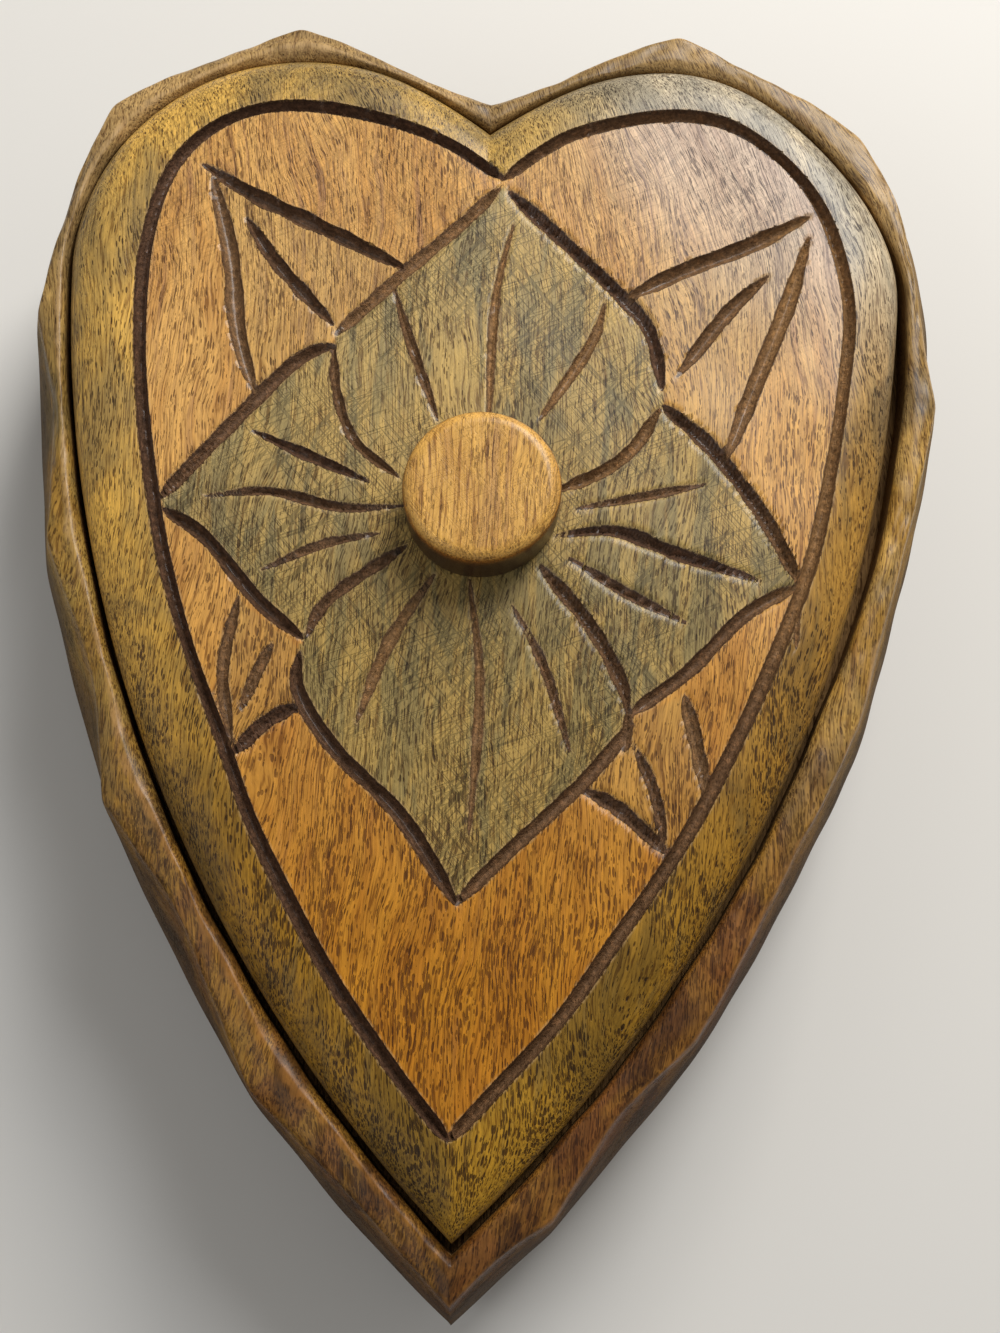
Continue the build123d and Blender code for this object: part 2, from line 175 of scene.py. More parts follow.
# The corners between the leaf strokes, stained like the petals but weaker
LEAF_CORNERS = (
    ((-43.0, 63.5), (-11.5, 48.0), (-22.0, 37.0), (-33.5, 28.0), (-38.5, 48.0)),
    ((48.8, 58.0), (21.0, 44.5), (27.0, 29.0), (36.6, 20.5), (45.0, 42.0)),
    ((-34.2, -4.0), (-24.8, -11.0), (-24.4, -19.5), (-33.5, -26.5), (-35.5, -15.0)),
    ((30.6, -16.3), (22.8, -20.0), (16.2, -30.3), (28.4, -39.0), (33.8, -30.0)),
)

# Each group of strokes with the share of a stroke over which either end thins out
CARVING = ((OUTLINE_STROKES, 0.012), (PETAL_STROKES, 0.1), (INNER_STROKES, 0.2), (VEIN_STROKES, 0.4),
           (LEAF_STROKES, 0.25))
STROKE_STEPS = 14  # straight pieces between two points of a stroke
STROKE_BED = 2.2  # power of the bed's curve: 2 is a parabola, more is squarer
LIP_SNAP = 0.24  # mesh points as near as this to a stroke's middle or lip move onto it
FAR = 5.0  # lip distance given to what lies far from any stroke
# The cuts are paler in the upper right corner, over these ranges of x and y in millimetres
PALE_X = (38, 50)
PALE_Y = (66, 52)

# Grids: cells across and along the lid, stations round a half of the body, levels up its wall, knob turns
LID_COLUMNS = 280
LID_ROWS = 296
SHARP = radians(50)  # edges steeper than this stay sharp
BODY_STATIONS = 460
WALL_LEVELS = 26
KNOB_TURNS = 160
HALF_LENGTH = 240  # millimetres along a half of the body, on which its ripples are measured

# Wood patterns, their sizes in millimetres across, along and across the grain
# Pores: size, greatest reach in a cell, chance below which a cell has none, darkness
PORES = (
    ((0.33, 1.9, 0.33), 0.52, 0.0, 0.95),
    ((0.25, 3.4, 0.25), 0.5, 0.05, 0.85),
    ((0.2, 1.1, 0.2), 0.46, 0.15, 0.75),
)
FIBRE_SIZE = (0.25, 5.5, 0.25)
FIGURE_SIZE = (6, 40, 6)
STREAK_SIZE = (1.5, 26, 1.5)
PATCH_SIZE = (15, 24, 15)
PATCH_EDGE = (0.38, 0.62)
FIGURE_EDGE = (0.4, 0.62)
GRAIN_BEND = 0.022  # above this y in metres the grain leans over
# Sanding scratches: turn, width, noise level at which they begin
SCRATCHES = ((0.72, 0.4, 0.555), (-0.72, 0.26, 0.55), (1.2, 0.2, 0.6))
# Tints that multiply a colour where a pattern lies on it
FIBRE_LIGHT = (1.4, 1.38, 1.3)
FIBRE_DARK = (0.42, 0.34, 0.27)
PORE_DARK = (0.26, 0.2, 0.19)
# Painted light and shade on the border: darker on the right and low on the left, lighter higher on the left.
# Eased ranges of x and y in metres, tint
BORDER_PAINTED_LIGHT_AND_SHADE = (
    ((0.0, 0.06), (0.07, 0.04), (0.72, 0.63, 0.54)),
    ((-0.02, -0.06), (-0.04, 0.0), (1.25, 1.2, 1.1)),
    ((0.0, -0.03), (0.0, -0.04), (0.8, 0.74, 0.55)),
)

# Lamps: name, place, target and size in metres, colour
LAMPS = (
    ("key", (0.29, 0.56, 0.49), (0, 0.01, 0.03), 0.38, (1.0, 0.965, 0.91)),
    ("window", (0.27, 0.50, 0.85), (0.03, 0.05, 0.05), 0.3, (0.95, 0.97, 1.0)),
    ("fill", (-0.5, -0.25, 0.6), (0, 0, 0.03), 0.6, (0.93, 0.96, 1.0)),
)
CAMERA_FOOT = (4.12, -77.46)  # below the camera, in millimetres about the middle of the heart
FLOOR_REACH = 3.0  # half the floor's side in metres


def smooth(low, high, values):
    """0 at low, 1 at high, easing in and out between: 3t^2 - 2t^3."""
    t = np.clip((values - low) / (high - low), 0, 1)
    return t * t * (3 - 2 * t)


def ripple(x, y, length, seed):
    """Uneven waves between about -1 and 1: six sines of wavelengths near length, their sum over three."""
    draw = np.random.default_rng(seed)
    total = np.zeros(np.broadcast(x, y).shape)
    waves = zip(draw.uniform(0, np.pi, 6), draw.uniform(0.6, 1.7, 6), draw.uniform(0, 6.3, 6))
    for turn, stretch, phase in waves:
        along = x * np.cos(turn) + y * np.sin(turn)
        total += np.sin(2 * np.pi * along / (length * stretch) + phase)
    return total / 3


def graded(cells, fine, ends):
    """cells + 1 values from 0 to 1, evenly spaced but for cells near the ends, which shrink to fine."""
    index = np.arange(cells)
    from_end = np.minimum(index, cells - 1 - index)
    weight = fine + (1 - fine) * smooth(0, ends, from_end.astype(float))
    return np.concatenate([[0.0], np.cumsum(weight) / weight.sum()])


def arc_middles():
    """Middles of the right half's crown, shoulder and side arcs, tangent where they meet."""
    shoulder = np.array(SHOULDER_MIDDLE)
    crown_way = np.array([np.cos(CROWN_ANGLE), np.sin(CROWN_ANGLE)])
    side_way = np.array([np.cos(SIDE_ANGLE), np.sin(SIDE_ANGLE)])
    crown = shoulder - (CROWN_RADIUS - SHOULDER_RADIUS) * crown_way
    side = shoulder - (SIDE_RADIUS - SHOULDER_RADIUS) * side_way
    return crown, shoulder, side


def heart_points(side, share, inset):
    """Points at a share of one half of the heart that lies inset inside the lid's edge.

    The half is three arcs whose radii are the lid's less the inset: crown, shoulder and side. The share runs
    along their lengths from the cleft to the tip. side is -1 left or 1 right.
    """
    share, inset = np.broadcast_arrays(np.asarray(share, float), np.asarray(inset, float))
    crown, shoulder, flank = arc_middles()
    crown_r, shoulder_r, flank_r = CROWN_RADIUS - inset, SHOULDER_RADIUS - inset, SIDE_RADIUS - inset
    first = np.arccos(-crown[0] / crown_r)
    last = -np.arccos(-flank[0] / flank_r)
    crown_length = crown_r * (first - CROWN_ANGLE)
    shoulder_length = shoulder_r * (CROWN_ANGLE - SIDE_ANGLE)
    along = share * (crown_length + shoulder_length + flank_r * (SIDE_ANGLE - last))
    on_crown = along < crown_length
    on_flank = along > crown_length + shoulder_length
    on_shoulder_angle = CROWN_ANGLE - (along - crown_length) / shoulder_r
    on_flank_angle = SIDE_ANGLE - (along - crown_length - shoulder_length) / flank_r
    angle = np.where(on_crown, first - along / crown_r, on_shoulder_angle)
    angle = np.where(on_flank, on_flank_angle, angle)
    radius = np.where(on_crown, crown_r, np.where(on_flank, flank_r, shoulder_r))
    mid_x = np.where(on_crown, crown[0], np.where(on_flank, flank[0], shoulder[0]))
    mid_y = np.where(on_crown, crown[1], np.where(on_flank, flank[1], shoulder[1]))
    return side * (mid_x + radius * np.cos(angle)), mid_y + radius * np.sin(angle)


def edge_inset(x, y):
    """How far points lie inside the lid's edge: least radius less distance over the arcs that face them."""
    x = np.abs(x)
    found = np.full(np.broadcast(x, y).shape, 1e3)
    ranges = ((CROWN_ANGLE, np.pi), (SIDE_ANGLE, CROWN_ANGLE), (-np.pi / 2, SIDE_ANGLE))
    radii = (CROWN_RADIUS, SHOULDER_RADIUS, SIDE_RADIUS)
    for middle, radius, (low, high) in zip(arc_middles(), radii, ranges):
        angle = np.arctan2(y - middle[1], x - middle[0])
        inset = radius - np.hypot(x - middle[0], y - middle[1])
        found = np.where((angle >= low) & (angle <= high), np.minimum(found, inset), found)
    return found


def shoulder_dip(x, y, depth):
    """How far the right shoulder lies inside its arc: a cosine hump of the angle about the arc's middle."""
    angle = np.arctan2(y - SHOULDER_MIDDLE[1], x - SHOULDER_MIDDLE[0])
    away = np.clip(np.abs(angle - DIP_ANGLE) / DIP_REACH, 0, 1)
    return depth * (0.5 + 0.5 * np.cos(np.pi * away))


def dipped(points, depth):
    """Points of the lid drawn in at the right shoulder: in full at the edge, easing to nothing inwards."""
    x, y = points[:, 0], points[:, 1]
    out_x, out_y = x - SHOULDER_MIDDLE[0], y - SHOULDER_MIDDLE[1]
    ease = smooth(DIP_EASE, 0.0, edge_inset(x, y))
    move = shoulder_dip(x, y, depth) * ease / np.maximum(np.hypot(out_x, out_y), 1e-6)
    return np.stack([x - out_x * move, y - out_y * move, points[:, 2]], 1)


def smooth_path(points):
    """A smooth path through the points: Catmull-Rom pieces with a mirrored point beyond each end."""
    points = np.array(points, float)
    padded = np.vstack([2 * points[0] - points[1], points, 2 * points[-1] - points[-2]])
    t = np.linspace(0, 1, STROKE_STEPS, endpoint=False)[None, :, None]
    a, b, c, d = (padded[i:len(padded) - 3 + i][:, None, :] for i in range(4))
    square = (2 * a - 5 * b + 4 * c - d) * t**2
    cube = (3 * b - a - 3 * c + d) * t**3
    pieces = 0.5 * (2 * b + (c - a) * t + square + cube)
    return np.vstack([pieces.reshape(-1, 2), points[-1:]])


def beside_path(path, x, y):
    """Signed distance of points from a path (left is positive), their share along it, the way across."""
    start, run = path[:-1], np.diff(path, axis=0)
    length = np.hypot(run[:, 0], run[:, 1])
    before = np.concatenate([[0.0], np.cumsum(length)])
    dx, dy = x[:, None] - start[:, 0], y[:, None] - start[:, 1]
    t = np.clip((dx * run[:, 0] + dy * run[:, 1]) / length**2, 0, 1)
    off_x, off_y = dx - t * run[:, 0], dy - t * run[:, 1]
    square = off_x**2 + off_y**2
    best = square.argmin(1)
    row = np.arange(len(x))
    side = np.sign(run[best, 0] * off_y[row, best] - run[best, 1] * off_x[row, best])
    share = (before[best] + t[row, best] * length[best]) / before[-1]
    across = np.stack([-run[best, 1], run[best, 0]], 1) / length[best][:, None]
    return side * np.sqrt(square[row, best]), share, across


def carved(x, y, snap, depth_share):
    """The carving's depth at points, distance to the nearest lip (negative inside), paleness, moved points.

    A stroke's bed is deep * (1 - |t|^2.2), t being 0 at its middle and 1 at its lip. Its half width and depth
    swell as the square root of (share / taper) from each end. Points nearer than snap to a stroke's middle or
    lip move onto it, so that the mesh has clean edges.
    """
    depth, pale = np.zeros(len(x)), np.zeros(len(x))
    lip = np.full(len(x), FAR)
    new_x, new_y = x.copy(), y.copy()
    strokes = [(taper, *stroke) for group, taper in CARVING for stroke in group]
    for number, (taper, width, deep, paleness, points) in enumerate(strokes):
        path = smooth_path(points)
        margin = width + 3
        low, high = path.min(0) - margin, path.max(0) + margin
        near = np.flatnonzero((x > low[0]) & (x < high[0]) & (y > low[1]) & (y < high[1]))
        distance, share, across = beside_path(path, x[near], y[near])
        swell = np.sqrt(np.minimum(1, np.minimum(share, 1 - share) / taper + 0.02))
        wobble = 1 + 0.1 * ripple(share * 40, np.full_like(share, number * 9.0), 7.0, number)
        half = width / 2 * swell * wobble
        bed = 1 - np.clip(np.abs(distance) / half, 0, 1) ** STROKE_BED
        depth[near] = np.maximum(depth[near], depth_share * deep * swell * bed)
        to_lip = np.abs(distance) - half
        closer = to_lip < lip[near]
        lip[near] = np.where(closer, to_lip, lip[near])
        pale[near] = np.where(closer, paleness, pale[near])
        to_edge = np.sign(distance) * half - distance
        move = np.where(np.abs(to_edge) < snap, to_edge, 0.0)
        move = np.where(np.abs(distance) < snap, -distance, move)
        move = np.where(closer & (share > 0) & (share < 1), move, 0.0)
        new_x[near] = np.where(move != 0, x[near] + move * across[:, 0], new_x[near])
        new_y[near] = np.where(move != 0, y[near] + move * across[:, 1], new_y[near])
    return depth, lip, pale, new_x, new_y


def inside(path, x, y):
    """Whether points lie inside a closed path: an odd number of its edges cross the ray towards +X."""
    x0, y0 = path[:, 0], path[:, 1]
    x1, y1 = np.roll(x0, -1), np.roll(y0, -1)
    spans = (y0 > y[:, None]) != (y1 > y[:, None])
    height = np.where(y1 == y0, 1.0, y1 - y0)
    crossing = x0 + (y[:, None] - y0) / height * (x1 - x0)
    return (spans & (x[:, None] < crossing)).sum(1) % 2 == 1


def mesh_piece(name, points, faces, masks):
    """A smooth mesh object from points in millimetres about the heart's middle, masks as attributes."""
    placed = (points + (MIDDLE_X, MIDDLE_Y, 0)) * MM
    mesh = bpy.data.meshes.new(name)
    mesh.from_pydata(placed.astype(float), [], faces)
    for key, values in masks.items():
        attribute = mesh.attributes.new(key, "FLOAT", "POINT")
        attribute.data.foreach_set("value", values.astype(np.float32))
    mesh.validate()
    mesh.polygons.foreach_set("use_smooth", np.ones(len(mesh.polygons), bool))
    mesh.set_sharp_from_angle(angle=SHARP)
    mesh.update()
    piece = bpy.data.objects.new(name, mesh)
    bpy.context.scene.collection.objects.link(piece)
    return piece


def quads(grid):
    """The four-cornered faces of a grid of vertex numbers, one for each cell."""
    return np.stack([grid[:-1, :-1], grid[1:, :-1], grid[1:, 1:], grid[:-1, 1:]], -1).reshape(-1, 4)


def ring_quads(rings):
    """Faces between rings of vertex numbers, each ring closed on itself."""
    return quads(np.concatenate([rings, rings[:, :1]], 1))


def welded(points, faces, masks):
    """Merges points that lie on each other and drops the faces that this leaves without area."""
    key = np.round(points / 1e-4).astype(np.int64)
    _, first, back = np.unique(key, axis=0, return_index=True, return_inverse=True)
    faces = back.reshape(-1)[faces]
    kept = []
    for corners in faces.tolist():
        corners = [c for i, c in enumerate(corners) if c != corners[i - 1]]
        if len(set(corners)) > 2:
            kept.append(corners)
    return points[first], kept, {name: values[first] for name, values in masks.items()}


def lid_height(x, y, dome_width):
    """Height of the uncarved lid: a round rise from the edge, (1 - t^2.2)^0.5, then a panel almost flat."""
    rise = np.clip(1 - edge_inset(x, y) / dome_width, 0, 1)
    crown = PANEL_Z - EDGE_Z - PANEL_SLACK
    height = EDGE_Z + crown * np.sqrt(np.clip(1 - rise**2.2, 0, 1))
    from_knob = np.hypot(x - KNOB_MIDDLE[0], y - KNOB_MIDDLE[1])
    away = smooth(KNOB_RADIUS + 3, KNOB_RADIUS + 30, from_knob)
    return height - away * (0.12 + 0.1 * ripple(x, y, 24.0, 3))


def lid_grid():
    """Columns across the heart, each running from its lower to its upper edge: x and y of every grid point.

    The lower end lies on the side arc (or, beyond its join, the shoulder arc), the upper end on the shoulder
    arc or the crown arc: y = middle -+ sqrt(radius^2 - (x - middle x)^2).
    """
    crown, shoulder, flank = arc_middles()
    widest = shoulder[0] + SHOULDER_RADIUS
    x = widest * (2 * graded(LID_COLUMNS, 0.1, 14) - 1)
    reach = np.minimum(np.abs(x), widest)

    def bow(middle, radius):
        """Half the height of a circle at each column."""
        return np.sqrt(np.maximum(radius**2 - (reach - middle[0]) ** 2, 0))

    join_side = shoulder[0] + SHOULDER_RADIUS * np.cos(SIDE_ANGLE)
    join_crown = shoulder[0] + SHOULDER_RADIUS * np.cos(CROWN_ANGLE)
    round_bow = bow(shoulder, SHOULDER_RADIUS)
    low = np.where(reach > join_side, shoulder[1] - round_bow, flank[1] - bow(flank, SIDE_RADIUS))
    high = np.where(reach > join_crown, shoulder[1] + round_bow, crown[1] + bow(crown, CROWN_RADIUS))
    share = graded(LID_ROWS, 0.22, 12)
    return np.repeat(x[:, None], LID_ROWS + 1, 1), low[:, None] + share * (high - low)[:, None]


def lid_underside(edge, bevel):
    """Rings of points from the lid's edge down and in to the screw's pit, scaled about the knob's middle."""
    out_x, out_y = edge[:, 0] - KNOB_MIDDLE[0], edge[:, 1] - KNOB_MIDDLE[1]
    reach = np.hypot(out_x, out_y)
    steps = [(1.0, (EDGE_Z + LEDGE_Z) / 2), (1.0, LEDGE_Z + bevel)]
    steps += [(1 - 0.3 * bevel / reach, LEDGE_Z + 0.25 * bevel), (1 - bevel / reach, LEDGE_Z)]
    steps += [(shrink, LEDGE_Z) for shrink in (0.93, 0.7, 0.4, 0.15, SINK_RADIUS / reach)]
    steps.append((SINK_FLOOR_RADIUS / reach, LEDGE_Z + SINK_DEPTH))
    rows = []
    for shrink, z in steps:
        x, y = KNOB_MIDDLE[0] + out_x * shrink, KNOB_MIDDLE[1] + out_y * shrink
        rows.append(np.stack([x, y, np.full(len(edge), z)], 1))
    return rows


def lid_mesh(size):
    """The whole lid: carved top on the grid, then edge, underside and screw pit round its outline."""
    grid_x, grid_y = lid_grid()
    shape = grid_x.shape
    x, y = grid_x.ravel(), grid_y.ravel()
    free = np.zeros(shape, bool)
    free[2:-2, 2:-2] = True
    *_, moved_x, moved_y = carved(x, y, LIP_SNAP, size.cut_depth)
    x = np.where(free.ravel(), moved_x, x)
    y = np.where(free.ravel(), moved_y, y)
    depth, lip, pale, *_ = carved(x, y, 0, size.cut_depth)
    pale = np.clip(pale + 0.5 * smooth(*PALE_X, x) * smooth(*PALE_Y, y), 0, 1)
    top = np.stack([x, y, lid_height(x, y, size.border) - depth], 1)
    numbers = np.arange(len(x)).reshape(shape)
    loop = np.concatenate([numbers[:, 0], numbers[::-1, -1][1:-1]])
    top[loop, 2] = EDGE_Z
    rows = lid_underside(top[loop], size.lid_bevel)
    below = np.vstack(rows)
    rings = np.vstack([loop[None, :], len(top) + np.arange(len(below)).reshape(len(rows), -1)])
    points = np.vstack([top, below, [[*KNOB_MIDDLE, LEDGE_Z + SINK_DEPTH]]])
    last = rings[-1]
    pit = np.full(len(last), len(points) - 1)
    fan = np.stack([last, np.roll(last, -1), pit, pit], 1)
    faces = np.vstack([quads(numbers), ring_quads(rings)[:, ::-1], fan[:, ::-1]])
    petals = np.vstack([smooth_path(stroke[3]) for stroke in PETAL_STROKES])
    left, right = (smooth_path(stroke[3]) for stroke in OUTLINE_STROKES)
    leaves = np.any([inside(np.array(corner), x, y) for corner in LEAF_CORNERS], 0)
    masks = {
        "lip": (lip, FAR),
        "pale": (pale, 0.0),
        "petal": (inside(petals, x, y), 0.0),
        "panel": (inside(np.vstack([left, right[::-1]]), x, y), 0.0),
        "leaf": (leaves, 0.0),
        "inset": (edge_inset(x, y), 0.0),
        "wall": (np.zeros(len(x)), 1.0),
    }
    hidden = len(points) - len(top)
    masks = {name: np.concatenate([seen, np.full(hidden, under)]) for name, (seen, under) in masks.items()}
    return welded(dipped(points, size.dip), faces, masks)


def wall_offsets(share, ridges, hollows):
    """Offsets of the wall outside the lid at the rim and the belly, for shares of one half.

    Between two ridges the offset falls to the hollow and rises again as |t|^1.5, t being 0 at the hollow.
    """
    ridges, hollows = np.array(ridges), np.array(hollows)
    span = np.clip(np.searchsorted(ridges[:, 0], share, side="right") - 1, 0, len(hollows) - 1)
    low = hollows[span]
    first, last = ridges[span], ridges[span + 1]
    after = share > low[:, 0]
    ridge = np.where(after[:, None], last, first)
    t = np.abs((share - low[:, 0]) / (ridge[:, 0] - low[:, 0]))
    ease = np.clip(t, 0, 1)[:, None] ** 1.5
    return low[:, 1:] + (ridge[:, 1:] - low[:, 1:]) * ease, 1 - t


def softened(values, width):
    """Values round half a heart, averaged over a few neighbours so that ridges are worn round."""
    kernel = np.hanning(width + 2)[1:-1]
    kernel /= kernel.sum()
    reach = width // 2
    before = 2 * values[:1] - values[reach:0:-1]
    after = 2 * values[-1:] - values[-2:-reach - 2:-1]
    return np.convolve(np.concatenate([before, values, after]), kernel, "valid")


def blended_section(share, section):
    """The rim's section at each share of a half: at the cleft and the tip it is the mean of both halves'."""
    away = smooth(0.0, 0.03, share) * smooth(1.0, 0.96, share)
    for own, left, right in zip(section, LEFT_RIM, RIGHT_RIM):
        shared = (np.array(left) + right) / 2
        yield [shared[i] + (own[i] - shared[i]) * away for i in range(3)]


def body_half(side, ridges, hollows, gaps, section, size):
    """One half of the body, its section carried from cleft to tip, and how near each station is to a ridge.

    Each row holds its points and the wear (with the left rim ridge's painted highlight), inner and rim masks.
    The rows run from the foot's middle up the wall, over the rim, down to the ledge and the hollow, and end
    at the middle of its floor.
    """
    share = np.linspace(0, 1, BODY_STATIONS + 1)
    rows = []

    def wave(length, shift, seed):
        """Ripple along the half, of a wavelength in millimetres."""
        return ripple(share * HALF_LENGTH, share * 0 + shift, length, seed)

    def row(inset, z, wear=0.0, inner=0.0, rim_top=0.0):
        """Adds a row at a height that lies inset inside the lid's edge, or on one point if inset is None."""
        z, wear = (np.broadcast_to(np.asarray(v, float), share.shape) for v in (z, wear))
        if inset is None:
            x, y = share * 0 - MIDDLE_X, share * 0 - MIDDLE_Y
        else:
            x, y = heart_points(side, share, inset)
        points = np.stack([x, y, z], 1)
        rows.append((points, wear, np.full_like(share, inner), np.full_like(share, rim_top)))

    offsets, ridge_near = wall_offsets(share, ridges, hollows)
    rim = softened(offsets[:, 0], 5) + 0.1 * wave(11.0, side, 5)
    belly = softened(offsets[:, 1], 7) - 0.1
    gap = np.interp(share, *np.array(gaps).T) + 0.12 * wave(14.0, side, 8)
    if side > 0:
        gap = gap - shoulder_dip(*heart_points(side, share, 0.0), size.dip)
    width = rim - gap

    foot = belly - size.tuck
    for inset in (None, 16.1, 2.5):
        row(inset, 0.0)
    row(-(foot - size.foot_bevel), 0.0)
    row(-(foot - 0.4 * size.foot_bevel), 0.35 * size.foot_bevel, 0.5)
    row(-foot, size.foot_bevel)

    wall_top = RIM_Z - 1.9
    for level in np.linspace(0.08, 1.0, WALL_LEVELS):
        z = size.foot_bevel + level * (wall_top - size.foot_bevel)
        rising = np.clip((z - size.belly) / (wall_top - size.belly), 0, 1) ** 1.25
        sinking = np.clip((size.belly - z) / size.belly, 0, 1) ** 1.6
        tool = 0.14 * (wave(17.0, z * 0.8, 21 + int(side)) - 1)
        row(-(belly + (rim - belly) * rising - size.tuck * sinking + tool * (1 - rising)), z)

    for part, drop, wear in blended_section(share, section):
        uneven = 0.16 * wave(6.0, part * 9, 33)
        part = part + 0.4 * part * (1 - part) * wave(24.0, side, 71)
        row(-(gap + part * width), RIM_Z - np.maximum(drop + uneven * (0.3 + part), 0.0), wear, rim_top=1.0)

    for level in (0.82, 0.6, 0.35, 0.12):
        row(-gap, LEDGE_Z + level * (RIM_Z - LEDGE_Z), inner=1.0)
    for inset, z, wear in ((-gap, LEDGE_Z, 0.0), (size.ledge * 0.5, LEDGE_Z, 0.0),
                           (size.ledge - 0.3, LEDGE_Z, 0.4), (size.ledge, LEDGE_Z - 0.3, 0.5)):
        row(inset, z, wear, inner=1.0)

    cove_top = size.floor_height + size.cove
    for level in np.linspace(0.9, 0.0, 10):
        dent = 0.18 * wave(13.0, level * 30, 44)
        z = cove_top + level * (LEDGE_Z - size.floor_height - size.cove)
        row(size.ledge + size.draft * (1 - level) + dent, z, inner=1.0)
    for turn in (30, 60, 90):
        angle = radians(turn)
        inset = size.ledge + size.draft + size.cove * (1 - np.cos(angle))
        row(inset, size.floor_height + size.cove * (1 - np.sin(angle)), inner=1.0)
    for inset, shift in ((15.0, 15.0), (21.0, 21.0), (None, 28.0)):
        row(inset, size.floor_height + 0.1 * wave(22.0, shift, 51) - 0.05, inner=1.0)
    return rows, ridge_near


def body_mesh(size):
    """The hollowed block: both halves' sections joined at cleft and tip, floor and foot closed flat."""
    right, right_ridge = body_half(1, RIGHT_RIDGES, RIGHT_HOLLOWS, RIGHT_GAP, RIGHT_RIM, size)
    left, left_ridge = body_half(-1, LEFT_RIDGES, LEFT_HOLLOWS, LEFT_GAP, LEFT_RIM, size)

    def joined(right_values, left_values):
        """Values down the right half and back up the left one."""
        return np.concatenate([right_values, left_values[-2:0:-1]])

    stack, wear, inner, rim_top = (
        np.array([joined(first[i], second[i]) for first, second in zip(right, left)]) for i in range(4)
    )
    stack[:, 0, 0] = stack[:, BODY_STATIONS, 0] = 0
    count, stations = stack.shape[:2]
    numbers = np.arange(count * stations).reshape(count, stations)
    points = stack.reshape(-1, 3)
    wear, inner, rim_top = wear.ravel(), inner.ravel(), rim_top.ravel()
    on_ridge = np.tile(smooth(0.16, 0.0, joined(right_ridge, left_ridge)), count)
    outside = (1 - inner) * smooth(size.belly - 4, RIM_Z - 3, points[:, 2])
    wear = np.maximum(wear, 0.55 * on_ridge * outside * (1 - rim_top))
    caps = []
    for ring in (numbers[0], numbers[-1]):
        one = ring[:BODY_STATIONS + 1]
        other = np.concatenate([ring[:1], ring[:BODY_STATIONS - 1:-1]])
        caps.append(np.stack([one[:-1], one[1:], other[1:], other[:-1]], 1))
    faces = np.vstack([ring_quads(numbers)[:, ::-1], caps[0][:, ::-1], caps[1]])
    return welded(points, faces, {"wear": wear, "inner": inner, "rim": rim_top})


def knob_mesh(size):
    """The knob, a section turned about its axis: bevel, side, round-over and a face that is not quite flat.

    The outer rings' radius varies by sin(2a) and sin(3a) of the turn a, because the disc is hand-shaped.
    """
    angle = np.linspace(0, 2 * np.pi, KNOB_TURNS, endpoint=False)
    low, high = PANEL_Z, KNOB_HIGH[2]
    over = size.knob_round
    section = [(0.0, low), (0.5, low), (0.965, low), (0.985, low + 0.25), (0.99, low + 0.8)]
    for t in (0.25, 0.5, 0.75, 1.0):
        section.append((0.99 + 0.01 * t, low + 0.8 + t * (high - low - over - 0.8)))
    for turn in range(15, 91, 15):
        bend = radians(turn)
        section.append((1 - over / KNOB_RADIUS * (1 - np.cos(bend)), high - over * (1 - np.sin(bend))))
    section += [(reach, high) for reach in (0.8, 0.65, 0.5, 0.33, 0.16, 0.0)]
    uneven = 0.014 - 0.008 * np.sin(2 * angle + 0.6) - 0.006 * np.sin(3 * angle + 2.0)
    rings = []
    for reach, z in section:
        wobble = 1 - uneven * (reach > 0.7)
        x = KNOB_MIDDLE[0] + reach * KNOB_RADIUS * wobble * np.cos(angle)
        y = KNOB_MIDDLE[1] + reach * KNOB_RADIUS * wobble * np.sin(angle)
        sag = 0.03 * (2 + ripple(x, y, 9.0, 61)) * (z == high)
        rings.append(np.stack([x, y, z - sag], 1))
    stack = np.array(rings)
    stack[0], stack[-1] = stack[0].mean(0), stack[-1].mean(0)
    numbers = np.arange(stack.shape[0] * KNOB_TURNS).reshape(-1, KNOB_TURNS)
    points = stack.reshape(-1, 3)
    edge = smooth(0.78, 0.9, np.hypot(*(points[:, :2] - KNOB_MIDDLE).T) / KNOB_RADIUS)
    worn = edge * smooth(high - over - 0.4, high - 0.2, points[:, 2])
    # Mask for the dark stain and painted shade low on the side
    stain = smooth(high - 0.5, high - 3.2, points[:, 2])
    return welded(points, ring_quads(numbers)[:, ::-1], {"wear": worn, "stain": stain})


